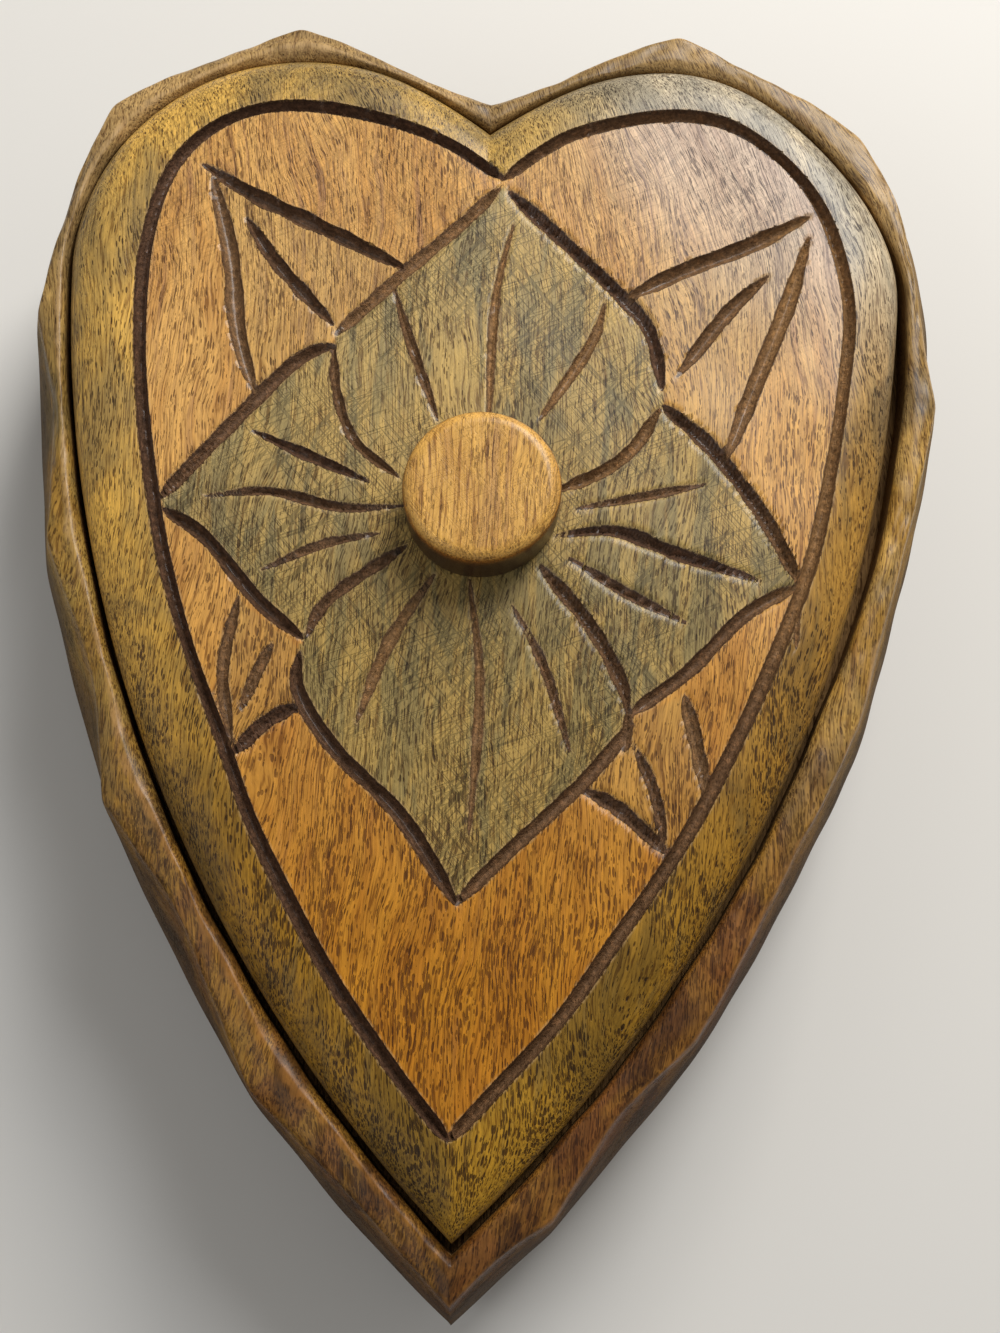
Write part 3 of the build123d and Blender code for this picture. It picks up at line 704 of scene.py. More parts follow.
class Graph:
    """Adds nodes to a material or group and links them; a value that is a socket becomes a link."""

    def __init__(self, tree):
        """An empty graph in a node tree."""
        self.tree = tree
        self.tree.nodes.clear()

    def add(self, kind, inputs=None, **settings):
        """A node of a kind with its inputs and settings."""
        node = self.tree.nodes.new(kind)
        for name, value in settings.items():
            setattr(node, name, value)
        for key, value in (inputs or {}).items():
            socket = node.inputs[key]
            if isinstance(value, bpy.types.NodeSocket):
                self.tree.links.new(value, socket)
            else:
                socket.default_value = value
        return node

    def math(self, operation, first, *others, clamp=False):
        """A math operation over two or more values, taken in turn."""
        for value in others:
            node = self.add("ShaderNodeMath", {0: first, 1: value}, operation=operation, use_clamp=clamp)
            first = node.outputs[0]
        return first

    def times(self, *values):
        """The product of the values."""
        return self.math("MULTIPLY", *values)

    def ramp(self, value, low, high, to_low=0.0, to_high=1.0):
        """value eased from to_low at low to to_high at high."""
        inputs = {"Value": value, "From Min": low, "From Max": high, "To Min": to_low, "To Max": to_high}
        return self.add("ShaderNodeMapRange", inputs, interpolation_type="SMOOTHSTEP").outputs["Result"]

    def mix(self, share, first, second, blend="MIX"):
        """first where share is 0, second where it is 1."""
        inputs = {0: share, 6: first, 7: second}
        return self.add("ShaderNodeMix", inputs, data_type="RGBA", blend_type=blend).outputs[2]

    def tint(self, colour, share, factors):
        """colour multiplied by three factors where share is 1, untouched where it is 0."""
        return self.mix(share, colour, self.mix(1.0, colour, (*factors, 1), "MULTIPLY"))

    def stretch(self, vector, size, turn=(0.0, 0.0, 0.0)):
        """vector in metres turned, then divided by a size in millimetres on each axis."""
        turned = self.add("ShaderNodeMapping", {"Vector": vector, "Rotation": turn}, vector_type="POINT")
        inputs = {0: turned.outputs[0], 1: tuple(1 / (s * MM) for s in size)}
        return self.add("ShaderNodeVectorMath", inputs, operation="MULTIPLY").outputs[0]

    def noise(self, vector, size, detail=2.0, rough=0.5, distort=0.0, turn=(0.0, 0.0, 0.0)):
        """Noise whose lumps have a size in millimetres on each axis."""
        inputs = {"Vector": self.stretch(vector, size, turn), "Scale": 1.0, "Detail": detail}
        inputs |= {"Roughness": rough, "Distortion": distort}
        return self.add("ShaderNodeTexNoise", inputs).outputs[0]

    def mask(self, name):
        """A mask that the mesh carries as an attribute."""
        return self.add("ShaderNodeAttribute", attribute_name=name).outputs["Fac"]

    def group(self, build, **inputs):
        """A node that runs the shared group of build, which is made the first time that it is asked for."""
        tree = bpy.data.node_groups.get(build.__name__) or build()
        return self.add("ShaderNodeGroup", inputs, node_tree=tree).outputs

    def give(self, outputs, **values):
        """Links values to the group's outputs."""
        for name, value in values.items():
            self.tree.links.new(value, outputs[name])


def new_group(name, inputs, outputs):
    """An empty shader node group with its named sockets, and the graph inside it."""
    tree = bpy.data.node_groups.new(name, "ShaderNodeTree")
    for label, kind, default in inputs:
        socket = tree.interface.new_socket(label, in_out="INPUT", socket_type=kind)
        if default is not None:
            socket.default_value = default
    for label in outputs:
        tree.interface.new_socket(label, in_out="OUTPUT", socket_type="NodeSocketFloat")
    graph = Graph(tree)
    entry = graph.add("NodeGroupInput")
    leave = graph.add("NodeGroupOutput")
    return tree, graph, entry.outputs, leave.inputs


def wood_grain():
    """Pores, fibre, figure and stain patches of open-grained wood whose grain runs along Y.

    The grain leans over towards +X by the square of the height above GRAIN_BEND, and sways by noise.
    """
    tree, g, given, out = new_group(
        "wood_grain",
        [("Vector", "NodeSocketVector", None), ("Tilt", "NodeSocketFloat", 0.06)],
        ("Pores", "Fibre", "Figure", "Streak", "Patch"),
    )
    tilt = g.add("ShaderNodeCombineXYZ", {"Z": given["Tilt"]}).outputs[0]
    turned = g.add("ShaderNodeVectorRotate", {"Vector": given["Vector"], "Rotation": tilt},
                   rotation_type="EULER_XYZ").outputs[0]
    split = g.add("ShaderNodeSeparateXYZ", {"Vector": turned})
    above = g.math("MAXIMUM", g.math("SUBTRACT", split.outputs["Y"], GRAIN_BEND), 0.0)
    lean = g.times(above, above, g.ramp(split.outputs["X"], -0.03, 0.05, 1.6, 4.6))
    sway = g.times(g.noise(turned, (22, 44, 22)), 0.011)
    wave = g.times(g.noise(turned, (3, 9, 3)), 0.0011)
    shift = g.add("ShaderNodeCombineXYZ", {"X": g.math("ADD", sway, wave, lean)}).outputs[0]
    bent = g.add("ShaderNodeVectorMath", {0: turned, 1: shift}, operation="ADD").outputs[0]
    low = g.ramp(split.outputs["Y"], 0.03, -0.05, 0.85, 1.08)
    crowd = g.times(low, g.ramp(g.noise(bent, (7, 20, 7)), 0.3, 0.7, 0.6, 1.15))
    dashes = []
    for size, most, rare, depth in PORES:
        cell = g.add("ShaderNodeTexVoronoi", {"Vector": g.stretch(bent, size), "Scale": 1.0})
        chance = g.add("ShaderNodeSeparateColor", {"Color": cell.outputs["Color"]}).outputs[0]
        reach = g.times(g.ramp(chance, rare, 1.0, 0.0, most), crowd)
        dashes.append(g.ramp(g.math("SUBTRACT", reach, cell.outputs["Distance"]), 0.0, 0.14, 0.0, depth))
    g.give(
        out,
        Pores=g.math("MAXIMUM", *dashes),
        Fibre=g.noise(bent, FIBRE_SIZE, 3.0, 0.6),
        Figure=g.noise(bent, FIGURE_SIZE, 3.0, 0.6, 1.2),
        Streak=g.ramp(g.noise(bent, STREAK_SIZE, 3.0, 0.6, 0.5), 0.52, 0.7),
        Patch=g.noise(given["Vector"], PATCH_SIZE, 4.0, 0.6, 0.6),
    )
    return tree


def sanding_scratches():
    """Fine crossed sanding scratches, as three sets of long thin noise streaks."""
    tree, g, given, out = new_group("sanding_scratches", [("Vector", "NodeSocketVector", None)], ("Lines",))
    lines = []
    for turn, width, low in SCRATCHES:
        streak = g.noise(given["Vector"], (width, 14, 4), 1.0, 0.4, turn=(0, 0, turn))
        lines.append(g.ramp(streak, low, low + 0.08))
    patch = g.noise(given["Vector"], (11, 14, 11))
    g.give(out, Lines=g.times(g.math("MAXIMUM", *lines), g.ramp(patch, 0.3, 0.55, 0.15, 1.0)))
    return tree


def edge_wear():
    """A rubbed-edge mask broken up by noise, from a mask that is 1 on the edge."""
    inputs = [("Vector", "NodeSocketVector", None), ("Edge", "NodeSocketFloat", 0.0)]
    tree, g, given, out = new_group("edge_wear", inputs, ("Wear",))
    rough = g.noise(given["Vector"], (1.6, 4.0, 1.6), 4.0, 0.65)
    edge = g.math("ADD", given["Edge"], g.ramp(rough, 0.25, 0.75, -0.55, 0.35))
    g.give(out, Wear=g.ramp(edge, 0.25, 0.95))
    return tree


def new_material(name):
    """A material, its empty graph and the object coordinates in it."""
    material = bpy.data.materials.new(name)
    material.use_nodes = True
    g = Graph(material.node_tree)
    return material, g, g.add("ShaderNodeTexCoord").outputs["Object"]


def finish(g, bump_height, bump_strength, bump_distance, **inputs):
    """The material's shader with its bump, linked to the output."""
    bump = {"Height": bump_height, "Strength": bump_strength, "Distance": bump_distance}
    inputs = {name.replace("_", " "): value for name, value in inputs.items()}
    inputs["Normal"] = g.add("ShaderNodeBump", bump).outputs[0]
    shader = g.add("ShaderNodeBsdfPrincipled", inputs)
    g.add("ShaderNodeOutputMaterial", {"Surface": shader.outputs[0]})


def finish_wood(g, colour, rough, height, coat=0.45, specular=0.22):
    """Varnished wood: colour, roughness, bump and satin coat."""
    finish(g, height, 1.0, 0.00014, Base_Color=colour, Roughness=rough, Coat_Weight=coat, Coat_Roughness=0.28,
           Specular_IOR_Level=specular)


def tone(colour, factor=1.0):
    """A colour made darker or lighter, with full alpha."""
    return tuple(c * factor for c in colour[:3]) + (1.0,)


def grained(g, grain, colour, pore_share=0.9, light=0.8, dark=0.9):
    """Light and dark fibres and dark pores laid over a colour."""
    colour = g.tint(colour, g.ramp(grain["Fibre"], 0.5, 0.66, 0.0, light), FIBRE_LIGHT)
    colour = g.tint(colour, g.ramp(grain["Fibre"], 0.5, 0.36, 0.0, dark), FIBRE_DARK)
    return g.tint(colour, g.times(grain["Pores"], pore_share), PORE_DARK)


def relief(g, grain):
    """Height of the surface in the bump: fibres stand out, pores lie in."""
    return g.math("SUBTRACT", g.times(grain["Fibre"], 0.8), g.times(grain["Pores"], 0.8))


def roughness(g, grain, low, high):
    """Roughness that varies with the fibres from low to high."""
    return g.ramp(grain["Fibre"], 0.3, 0.7, low, high)


def inside_colour(g, look, patch):
    """Brown wood of the hollow and the lid's underside."""
    return g.mix(patch, tone(look.inside, 0.65), tone(look.inside))


def lid_stain(g, look, place, x, y, grain):
    """Colour of the uncut lid: amber panel, olive border, petals and corner leaves, brown below."""
    # Lighter towards the top, deeper below: the stain's own change with painted light above and painted shade
    # below
    upper = g.ramp(y, -0.055, 0.045)
    patch = g.ramp(grain["Patch"], *PATCH_EDGE)
    amber = g.mix(upper, tone(look.amber_low), tone(look.amber))
    amber = g.tint(amber, g.times(g.ramp(grain["Figure"], *FIGURE_EDGE), 0.55), (0.68, 0.55, 0.42))
    amber = g.mix(g.times(grain["Streak"], g.ramp(y, 0.0, 0.05, 0.15, 0.6)), amber, tone(look.streak))
    border_high = g.mix(patch, tone(look.olive), tone(look.olive_yellow))
    border_low = g.mix(patch, tone(look.border_dark), tone(look.border_low))
    border = g.mix(upper, border_low, border_high)
    # Painted light and shade on the border, from the table above
    for across, along, factors in BORDER_PAINTED_LIGHT_AND_SHADE:
        border = g.tint(border, g.times(g.ramp(x, *across), g.ramp(y, *along)), factors)
    border = g.mix(g.times(grain["Streak"], 0.45), border, tone(look.olive, 0.5))
    slate_band = g.ramp(g.noise(place, (4.0, 26, 4.0), 3.0, 0.6, 0.8), 0.45, 0.58)
    petal = g.mix(g.times(slate_band, 0.6), tone(look.petal), tone(look.slate))
    petal = g.tint(petal, g.times(patch, 0.5), (1.35, 1.25, 1.0))
    # Painted light and sheen: the petals lighter and bluer towards the top
    petal = g.tint(petal, g.ramp(y, -0.02, 0.05, 0.0, 0.7), (1.35, 1.4, 1.75))
    colour = g.mix(g.mask("panel"), border, amber)
    colour = g.mix(g.times(g.mask("leaf"), 0.3), colour, petal)
    colour = g.mix(g.mask("petal"), colour, petal)
    return g.mix(g.mask("wall"), colour, inside_colour(g, look, patch))


def lid_material(look):
    """Amber panel, olive border and petals, dark gouge cuts with rubbed edges."""
    material, g, place = new_material("lid_wood")
    grain = g.group(wood_grain, Vector=place)
    split = g.add("ShaderNodeSeparateXYZ", {"Vector": place})
    x, y = split.outputs["X"], split.outputs["Y"]
    colour = grained(g, grain, lid_stain(g, look, place, x, y, grain))
    flecks = g.math("MULTIPLY", grain["Pores"], g.math("SUBTRACT", 0.65, g.mask("panel")), clamp=True)
    colour = g.tint(colour, flecks, (0.35, 0.33, 0.28))

    # Sanding scratches on the petals and the upper part
    rubbed_part = g.math("MAXIMUM", g.mask("petal"), g.ramp(y, 0.02, 0.07, 0.05, 0.5))
    scratch = g.times(g.group(sanding_scratches, Vector=place)["Lines"], rubbed_part)
    colour = g.tint(colour, g.times(scratch, 0.7), (0.4, 0.42, 0.44))

    # Painted sheen: the upper right corner is made greyer, paler and bluer, its border the most
    corner = g.math("ADD", g.times(x, 0.7), y)
    painted_sheen = g.times(g.ramp(corner, 0.06, 0.105), g.ramp(x, -0.005, 0.03, 0.0, 0.9))
    grey = g.mix(0.6, g.add("ShaderNodeRGBToBW", {0: colour}).outputs[0], colour)
    colour = g.mix(painted_sheen, colour, grey)
    colour = g.tint(colour, painted_sheen, (1.07, 1.22, 1.62))
    colour = g.tint(colour, g.times(painted_sheen, g.ramp(g.mask("inset"), 9.0, 7.5)), (1.3, 1.33, 1.3))

    # Cuts: rubbed tan lips, stained beds and a dark seam where they meet
    ragged = g.noise(place, (0.5, 1.2, 0.5), 2.0, 0.6)
    lip = g.math("ADD", g.mask("lip"), g.ramp(ragged, 0.2, 0.8, -0.12, 0.12))
    rubbed = g.times(g.ramp(lip, 0.45, 0.08), g.ramp(ragged, 0.42, 0.62))
    colour = g.mix(g.times(rubbed, 0.45), colour, tone(look.rubbed, 0.85))
    cut = g.ramp(lip, 0.08, -0.12)
    scrape = g.noise(place, (0.8, 0.8, 0.8), 4.0, 0.65)
    bed = g.mix(g.mask("pale"), tone(look.groove), tone(look.groove_pale))
    bed = g.tint(bed, g.ramp(scrape, 0.5, 0.68, 0.0, 0.8), (1.9, 1.8, 1.7))
    bed = g.tint(bed, g.ramp(scrape, 0.5, 0.35, 0.0, 0.7), (0.5, 0.45, 0.42))
    colour = g.mix(cut, colour, bed)
    seam = g.times(g.ramp(lip, -0.4, -0.12), g.ramp(lip, 0.1, -0.02))
    colour = g.tint(colour, g.times(seam, 0.7), (0.42, 0.36, 0.36))

    wear = g.group(edge_wear, Vector=place, Edge=g.ramp(g.mask("inset"), 1.0, 0.3))["Wear"]
    colour = g.mix(g.times(wear, 0.25), colour, tone(look.rubbed, 0.6))
    dull = g.math("MAXIMUM", grain["Pores"], cut)
    rough = g.math("ADD", roughness(g, grain, 0.34, 0.5), g.times(dull, 0.2))
    height = g.math("SUBTRACT", relief(g, grain), g.times(scratch, 0.35))
    height = g.math("ADD", height, g.times(cut, scrape, 3.0))
    finish_wood(g, colour, rough, height, g.ramp(y, -0.06, 0.03, 0.18, 0.45), 0.15)
    return material


def rim_stain(g, look, place, x, y, grain, patch):
    """Colour of the rim: tan round the lobes, olive at the middle, red-brown towards the tip, with painted
    light on the right and painted shade low down.
    """
    high = g.mix(patch, tone(look.rim, 0.6), tone(look.rim))
    middle = g.mix(patch, tone(look.olive, 0.6), tone(look.olive_yellow, 0.7))
    # Painted light: the middle of the rim lighter on the right
    middle = g.tint(middle, g.ramp(x, 0.02, 0.05), (1.35, 1.3, 1.4))
    low = g.mix(g.ramp(grain["Figure"], 0.4, 0.6), tone(look.rim_red, 0.5), tone(look.rim_red, 1.15))
    colour = g.mix(g.ramp(y, 0.03, 0.07), middle, high)
    colour = g.mix(g.ramp(y, 0.0, -0.05), colour, low)
    glow = g.ramp(g.noise(place, (7, 13, 9), 3.0, 0.6, 0.6), 0.44, 0.62, 0.0, 0.7)
    colour = g.mix(g.times(glow, g.ramp(y, 0.06, 0.03)), colour, tone(look.rim_gold))
    colour = g.tint(colour, g.times(grain["Streak"], 0.6), (0.5, 0.38, 0.36))
    # Painted shade: darker towards the tip and low on the right
    colour = g.tint(colour, g.ramp(y, -0.06, -0.1), (0.62, 0.54, 0.52))
    return g.tint(colour, g.times(g.ramp(x, 0.0, 0.02), g.ramp(y, -0.02, -0.05)), (0.78, 0.68, 0.75))


def body_material(look):
    """Stained rim, dark brown wall, brown inside, worn along the ridges, with a painted highlight on the left
    rim's ridge.
    """
    material, g, place = new_material("stained_wood")
    grain = g.group(wood_grain, Vector=place)
    split = g.add("ShaderNodeSeparateXYZ", {"Vector": place})
    x, y, z = (split.outputs[axis] for axis in "XYZ")
    patch = g.ramp(grain["Patch"], *PATCH_EDGE)
    colour = rim_stain(g, look, place, x, y, grain, patch)
    # Dark brown wall, darkening down from just below the rim
    uneven = g.ramp(g.noise(place, (8, 11, 8), 3.0, 0.6), 0.3, 0.7, -0.0035, 0.0035)
    colour = g.mix(g.ramp(g.math("ADD", z, uneven), 0.0465, 0.029, 0.0, 0.82), colour, tone(look.wall))
    colour = g.mix(g.mask("inner"), colour, inside_colour(g, look, patch))
    colour = grained(g, grain, colour, 0.75)
    wear = g.group(edge_wear, Vector=place, Edge=g.mask("wear"))["Wear"]
    rubbed = g.mix(g.ramp(y, -0.06, 0.04), tone(look.rim_red, 1.7), tone(look.rubbed, 0.85))
    patchy = g.ramp(g.noise(place, (3, 7, 3), 3.0, 0.6), 0.35, 0.65, 0.15, 0.75)
    # Wear, and along the left rim's ridge a painted highlight
    colour = g.mix(g.times(wear, patchy), colour, rubbed)
    rough = g.math("ADD", roughness(g, grain, 0.36, 0.5), g.times(grain["Pores"], 0.2),
                   g.ramp(z, 0.0445, 0.04, 0.0, 0.25))
    dents = g.noise(place, (3.5, 5, 3.5), 3.0, 0.6)
    height = g.math("ADD", relief(g, grain), g.times(dents, 3.0))
    finish_wood(g, colour, rough, height, g.ramp(z, 0.0446, 0.0456, 0.0, 0.4), 0.1)
    return material


def knob_material(look):
    """Honey wood with its grain across the face, rubbed round the edge and dark low on its side, from a dark
    stain and painted shade.
    """
    material, g, place = new_material("knob_wood")
    grain = g.group(wood_grain, Vector=place)
    figure = g.ramp(grain["Figure"], *FIGURE_EDGE)
    colour = g.tint(tone(look.knob), g.times(figure, 0.5), (0.75, 0.65, 0.5))
    colour = g.mix(g.times(grain["Streak"], 0.45), colour, tone(look.streak))
    colour = grained(g, grain, colour, 0.6, 0.5, 0.6)
    lines = g.ramp(g.noise(place, (0.45, 9, 0.45), 2.0, 0.5, 0.4), 0.54, 0.64, 0.0, 0.85)
    colour = g.tint(colour, lines, (0.45, 0.36, 0.28))
    wear = g.group(edge_wear, Vector=place, Edge=g.mask("wear"))["Wear"]
    colour = g.mix(g.times(wear, 0.3), colour, tone(look.knob, 1.4))
    # Dark stain and painted shade low on the knob's side
    colour = g.tint(colour, g.ramp(g.mask("stain"), 0.0, 0.35), (0.6, 0.42, 0.25))
    colour = g.mix(g.ramp(g.mask("stain"), 0.1, 1.0), colour, tone(look.knob_side))
    scratch = g.group(sanding_scratches, Vector=place)["Lines"]
    height = g.math("SUBTRACT", relief(g, grain), g.times(scratch, 0.3))
    finish_wood(g, colour, roughness(g, grain, 0.3, 0.42), height)
    return material


def screw_material(look):
    """Brushed steel with dull spots."""
    material, g, place = new_material("screw_steel")
    brushed = g.noise(place, (0.08, 3.0, 0.08), 3.0, 0.6)
    spots = g.ramp(g.noise(place, (1.2, 1.2, 1.2), 4.0, 0.6), 0.5, 0.7)
    colour = g.mix(g.times(spots, 0.5), tone(look.steel), tone(look.steel, 0.45))
    rough = g.ramp(brushed, 0.3, 0.7, 0.3, 0.5)
    finish(g, brushed, 0.25, 0.0001, Base_Color=colour, Metallic=1.0, Roughness=rough)
    return material


def colour_property(name, description, value):
    """A colour that the user can change."""
    return FloatVectorProperty(name=name, description=description, subtype="COLOR", size=3, min=0, max=1,
                               default=value)


def length_property(name, description, value):
    """A length that the user can change, its default given in millimetres."""
    return FloatProperty(name=name, description=description, default=value * MM, min=0, precision=4,
                         unit="LENGTH")


class HeartBoxSize(bpy.types.PropertyGroup):
    """Sizes that the frame doesn't fix."""

    border: length_property("Border", "Width of the lid's domed border", 9.0)
    dip: length_property("Shoulder dip", "How far the right shoulder of the lid lies inside its arc", 2.5)
    lid_bevel: length_property("Lid bevel", "Bevel round the lid's underside", 0.6)
    ledge: length_property("Ledge", "Width of the ledge that the lid rests on", 6.0)
    floor_height: length_property("Floor", "Height of the hollow's floor", 7.0)
    draft: length_property("Draft", "How far the hollow narrows from the ledge down to its cove", 1.5)
    cove: length_property("Cove", "Radius between the hollow's wall and its floor", 3.0)
    belly: length_property("Belly", "Height at which the wall begins to turn in to the foot", 24.0)
    tuck: length_property("Foot tuck", "How far the wall draws in down to the foot", 1.2)
    foot_bevel: length_property("Foot bevel", "Bevel round the foot", 1.5)
    knob_round: length_property("Knob round", "Radius round the knob's face", 2.1)
    cut_depth: FloatProperty(name="Cut depth", description="Share of each stroke's listed depth", default=1.2,
                             min=0, max=2, subtype="FACTOR")


class HeartBoxLook(bpy.types.PropertyGroup):
    """Colours of the woods, the stain and the screw."""

    # Upper colours hold painted light and sheen, lower ones painted shade, besides the stain's own change
    amber: colour_property("Panel", "Amber varnish of the upper panel", (0.66, 0.36, 0.1))
    amber_low: colour_property("Lower panel", "Deeper amber of the lower panel", (0.46, 0.19, 0.012))
    olive: colour_property("Border stain", "Grey olive stain of the upper border", (0.28, 0.185, 0.06))
    olive_yellow: colour_property("Border glow", "Yellow olive where that stain is thin", (0.56, 0.34, 0.075))
    border_dark: colour_property("Lower border stain", "Dark stain low on the border", (0.19, 0.105, 0.012))
    border_low: colour_property("Lower border", "Yellow brown low on the border", (0.37, 0.195, 0.016))
    petal: colour_property("Petals", "Olive brown stain of the petals", (0.35, 0.235, 0.07))
    slate: colour_property("Petal shade", "Blue-grey bands in the petals' stain", (0.15, 0.128, 0.058))
    streak: colour_property("Streak", "Purplish brown bands of the heartwood", (0.27, 0.12, 0.06))
    groove: colour_property("Cuts", "Dark stain in the carved lines", (0.095, 0.048, 0.029))
    groove_pale: colour_property("Pale cuts", "Brown of the cuts that took little stain", (0.29, 0.16, 0.062))
    rubbed: colour_property("Rubbed edge", "Tan where the stain is rubbed off an edge", (0.62, 0.40, 0.18))
    rim: colour_property("Upper rim", "Tan olive of the rim round the lobes", (0.46, 0.29, 0.11))
    rim_red: colour_property("Lower rim", "Red-brown of the lower rim", (0.2, 0.085, 0.016))
    rim_gold: colour_property("Rim glow", "Golden brown where the rim's stain is thin", (0.36, 0.185, 0.026))
    inside: colour_property("Inside", "Brown of the hollow and the underside of the lid", (0.27, 0.15, 0.055))
    # Dark brown of the wall below the rim
    wall: colour_property("Wall", "Dark stain of the wall", (0.075, 0.048, 0.026))
    knob: colour_property("Knob", "Honey varnish of the knob", (0.7, 0.385, 0.085))
    # The knob's side colour: a dark stain and painted shade together
    knob_side: colour_property("Knob side", "Red-brown stain low on the knob", (0.04, 0.011, 0.003))
    steel: colour_property("Screw", "Plain steel of the screw", (0.5, 0.5, 0.5))
    floor: colour_property("Floor", "Pale floor under the box", (0.74, 0.72, 0.68))


class HeartBoxLight(bpy.types.PropertyGroup):
    """Lamps and camera."""

    key_power: FloatProperty(name="Key light", description="Power of the large lamp", default=4.6,
                             unit="POWER")
    window_power: FloatProperty(name="Window light", description="Power of the lamp on the upper right",
                                default=3.4, unit="POWER")
    fill_power: FloatProperty(name="Fill light", description="Power of the weak lamp", default=0.8,
                              unit="POWER")
    sky: FloatProperty(name="Sky", description="Strength of the even light from all round", default=0.25)
    lens: FloatProperty(name="Lens", description="Focal length of the camera", default=54.0, unit="CAMERA")
    height: FloatProperty(name="Camera height", description="Above the surface", default=0.3292,
                          unit="LENGTH")
    lean: FloatProperty(name="Camera lean", description="Tilt from straight down", default=radians(13),
                        subtype="ANGLE")
    roll: FloatProperty(name="Camera roll", description="Turn of the picture", default=radians(1.8),
                        subtype="ANGLE")


def plain_sizes(group):
    """The group's values as rounded numbers, its lengths in millimetres."""
    values = {}
    for name in group.__annotations__:
        unit = MM if group.bl_rna.properties[name].unit == "LENGTH" else 1
        values[name] = round(getattr(group, name) / unit, 4)
    return SimpleNamespace(**values)


def add_piece(context, name, shape, material, body, node):
    """Makes a piece of its shape and material, rides it on its body and hides its CAD node."""
    piece = mesh_piece(name, *shape(plain_sizes(context.scene.heart_box_size)))
    piece.data.materials.append(material(context.scene.heart_box_look))
    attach(piece, body)
    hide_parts(node)
    return {"FINISHED"}


class HEARTBOX_OT_lid(bpy.types.Operator):
    """Makes the carved lid."""

    bl_idname = "heartbox.lid"
    bl_label = "Lid"

    def execute(self, context):
        return add_piece(context, "carved_lid", lid_mesh, lid_material, "lid", "lid")


class HEARTBOX_OT_body(bpy.types.Operator):
    """Makes the hollowed body with its scalloped rim."""

    bl_idname = "heartbox.body"
    bl_label = "Body"

    def execute(self, context):
        return add_piece(context, "scalloped_body", body_mesh, body_material, "box", "box_body")


class HEARTBOX_OT_knob(bpy.types.Operator):
    """Makes the round knob."""

    bl_idname = "heartbox.knob"
    bl_label = "Knob"

    def execute(self, context):
        return add_piece(context, "round_knob", knob_mesh, knob_material, "lid", "knob")


class HEARTBOX_OT_screw(bpy.types.Operator):
    """Gives the screw its steel."""

    bl_idname = "heartbox.screw"
    bl_label = "Screw"

    def execute(self, context):
        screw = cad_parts["knob_screw"]
        screw.data.materials.clear()
        screw.data.materials.append(screw_material(context.scene.heart_box_look))
        return {"FINISHED"}


def add_floor(scene):
    """A wide pale floor under the box."""
    corners = [(x * FLOOR_REACH, y * FLOOR_REACH, 0) for x, y in ((-1, -1), (1, -1), (1, 1), (-1, 1))]
    mesh = bpy.data.meshes.new("floor")
    mesh.from_pydata(corners, [], [(0, 1, 2, 3)])
    floor = bpy.data.objects.new("floor", mesh)
    scene.collection.objects.link(floor)
    material = bpy.data.materials.new("pale_floor")
    material.use_nodes = True
    shader = material.node_tree.nodes["Principled BSDF"]
    shader.inputs["Base Color"].default_value = (*scene.heart_box_look.floor, 1)
    shader.inputs["Roughness"].default_value = 0.7
    mesh.materials.append(material)


def area_lamp(scene, name, place, target, size, power, colour):
    """A square area lamp at a place, facing a target."""
    lamp = bpy.data.lights.new(name, "AREA")
    lamp.size = size
    lamp.energy = power
    lamp.color = colour
    holder = bpy.data.objects.new(name, lamp)
    holder.location = place
    holder.rotation_euler = (Vector(target) - Vector(place)).to_track_quat("-Z", "Y").to_euler()
    scene.collection.objects.link(holder)


def add_camera(scene, light):
    """The camera, leaning from straight down towards +Y and then rolled."""
    camera = bpy.data.cameras.new("camera")
    camera.lens = light.lens
    camera.clip_start = 0.01
    holder = bpy.data.objects.new("camera", camera)
    right = Vector((1, 0, 0))
    up = Vector((0, np.cos(light.lean), np.sin(light.lean)))
    back = Vector((0, -np.sin(light.lean), np.cos(light.lean)))
    turned_right = np.cos(light.roll) * right + np.sin(light.roll) * up
    turned_up = np.cos(light.roll) * up - np.sin(light.roll) * right
    place = Vector(((CAMERA_FOOT[0] + MIDDLE_X) * MM, (CAMERA_FOOT[1] + MIDDLE_Y) * MM, light.height))
    turn = Matrix((turned_right, turned_up, back)).transposed().to_4x4()
    holder.matrix_world = Matrix.Translation(place) @ turn
    scene.collection.objects.link(holder)
    scene.camera = holder


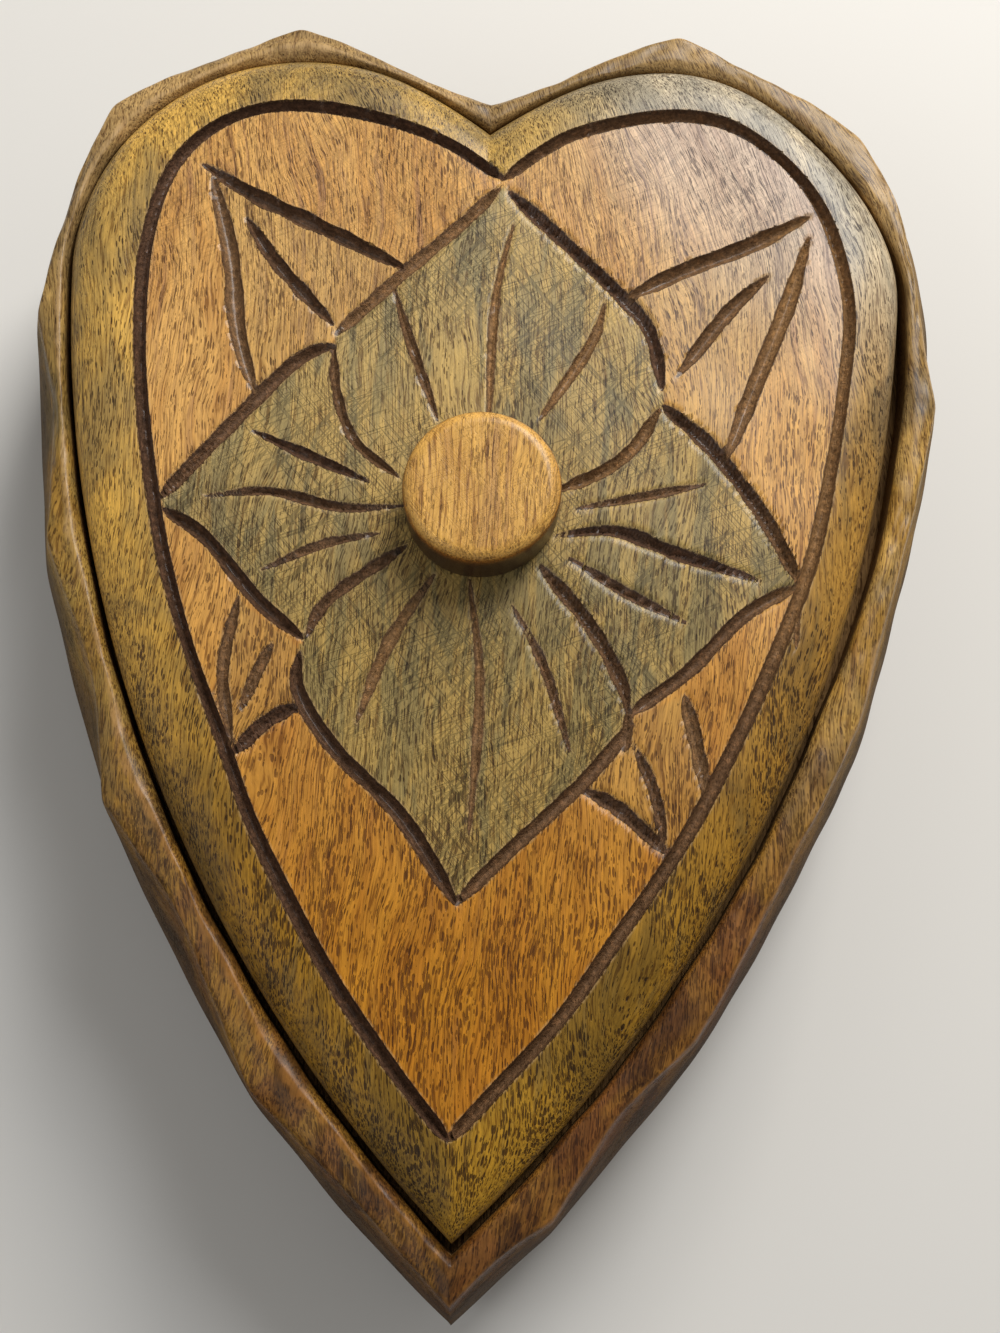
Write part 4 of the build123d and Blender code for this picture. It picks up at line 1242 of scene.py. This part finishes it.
class HEARTBOX_OT_stage(bpy.types.Operator):
    """Makes the floor, lamps, world and camera."""

    bl_idname = "heartbox.stage"
    bl_label = "Stage"

    def execute(self, context):
        scene, light = context.scene, context.scene.heart_box_light
        add_floor(scene)
        for name, place, target, size, colour in LAMPS:
            area_lamp(scene, name, place, target, size, getattr(light, name + "_power"), colour)
        world = bpy.data.worlds.new("even_light")
        world.use_nodes = True
        sky = world.node_tree.nodes["Background"].inputs
        sky["Color"].default_value = (1.0, 0.98, 0.95, 1)
        sky["Strength"].default_value = light.sky
        scene.world = world
        add_camera(scene, light)
        scene.view_settings.view_transform = "Standard"
        return {"FINISHED"}


class HEARTBOX_PT_panel(bpy.types.Panel):
    """Lists the pieces, the stage and every property in the sidebar."""

    bl_idname = "HEARTBOX_PT_panel"
    bl_label = "Heart box"
    bl_space_type = "VIEW_3D"
    bl_region_type = "UI"
    bl_category = "Heart box"

    def draw(self, context):
        for operator in OPERATORS:
            self.layout.operator(operator.bl_idname)
        for key in GROUPS:
            group = getattr(context.scene, key)
            for name in group.__annotations__:
                self.layout.prop(group, name)


OPERATORS = (HEARTBOX_OT_body, HEARTBOX_OT_lid, HEARTBOX_OT_knob, HEARTBOX_OT_screw, HEARTBOX_OT_stage)
GROUPS = {"heart_box_size": HeartBoxSize, "heart_box_look": HeartBoxLook, "heart_box_light": HeartBoxLight}
CLASSES = (*GROUPS.values(), *OPERATORS, HEARTBOX_PT_panel)


def register():
    """Registers the classes and gives the scene its property groups."""
    for item in CLASSES:
        bpy.utils.register_class(item)
    for key, group in GROUPS.items():
        setattr(bpy.types.Scene, key, PointerProperty(type=group))


def unregister():
    """Takes back what register did."""
    for key in GROUPS:
        delattr(bpy.types.Scene, key)
    for item in reversed(CLASSES):
        bpy.utils.unregister_class(item)


def main():
    register()
    bpy.ops.heartbox.body()
    bpy.ops.heartbox.lid()
    bpy.ops.heartbox.knob()
    bpy.ops.heartbox.screw()
    bpy.ops.heartbox.stage()


if __name__ == "__main__":
    main()
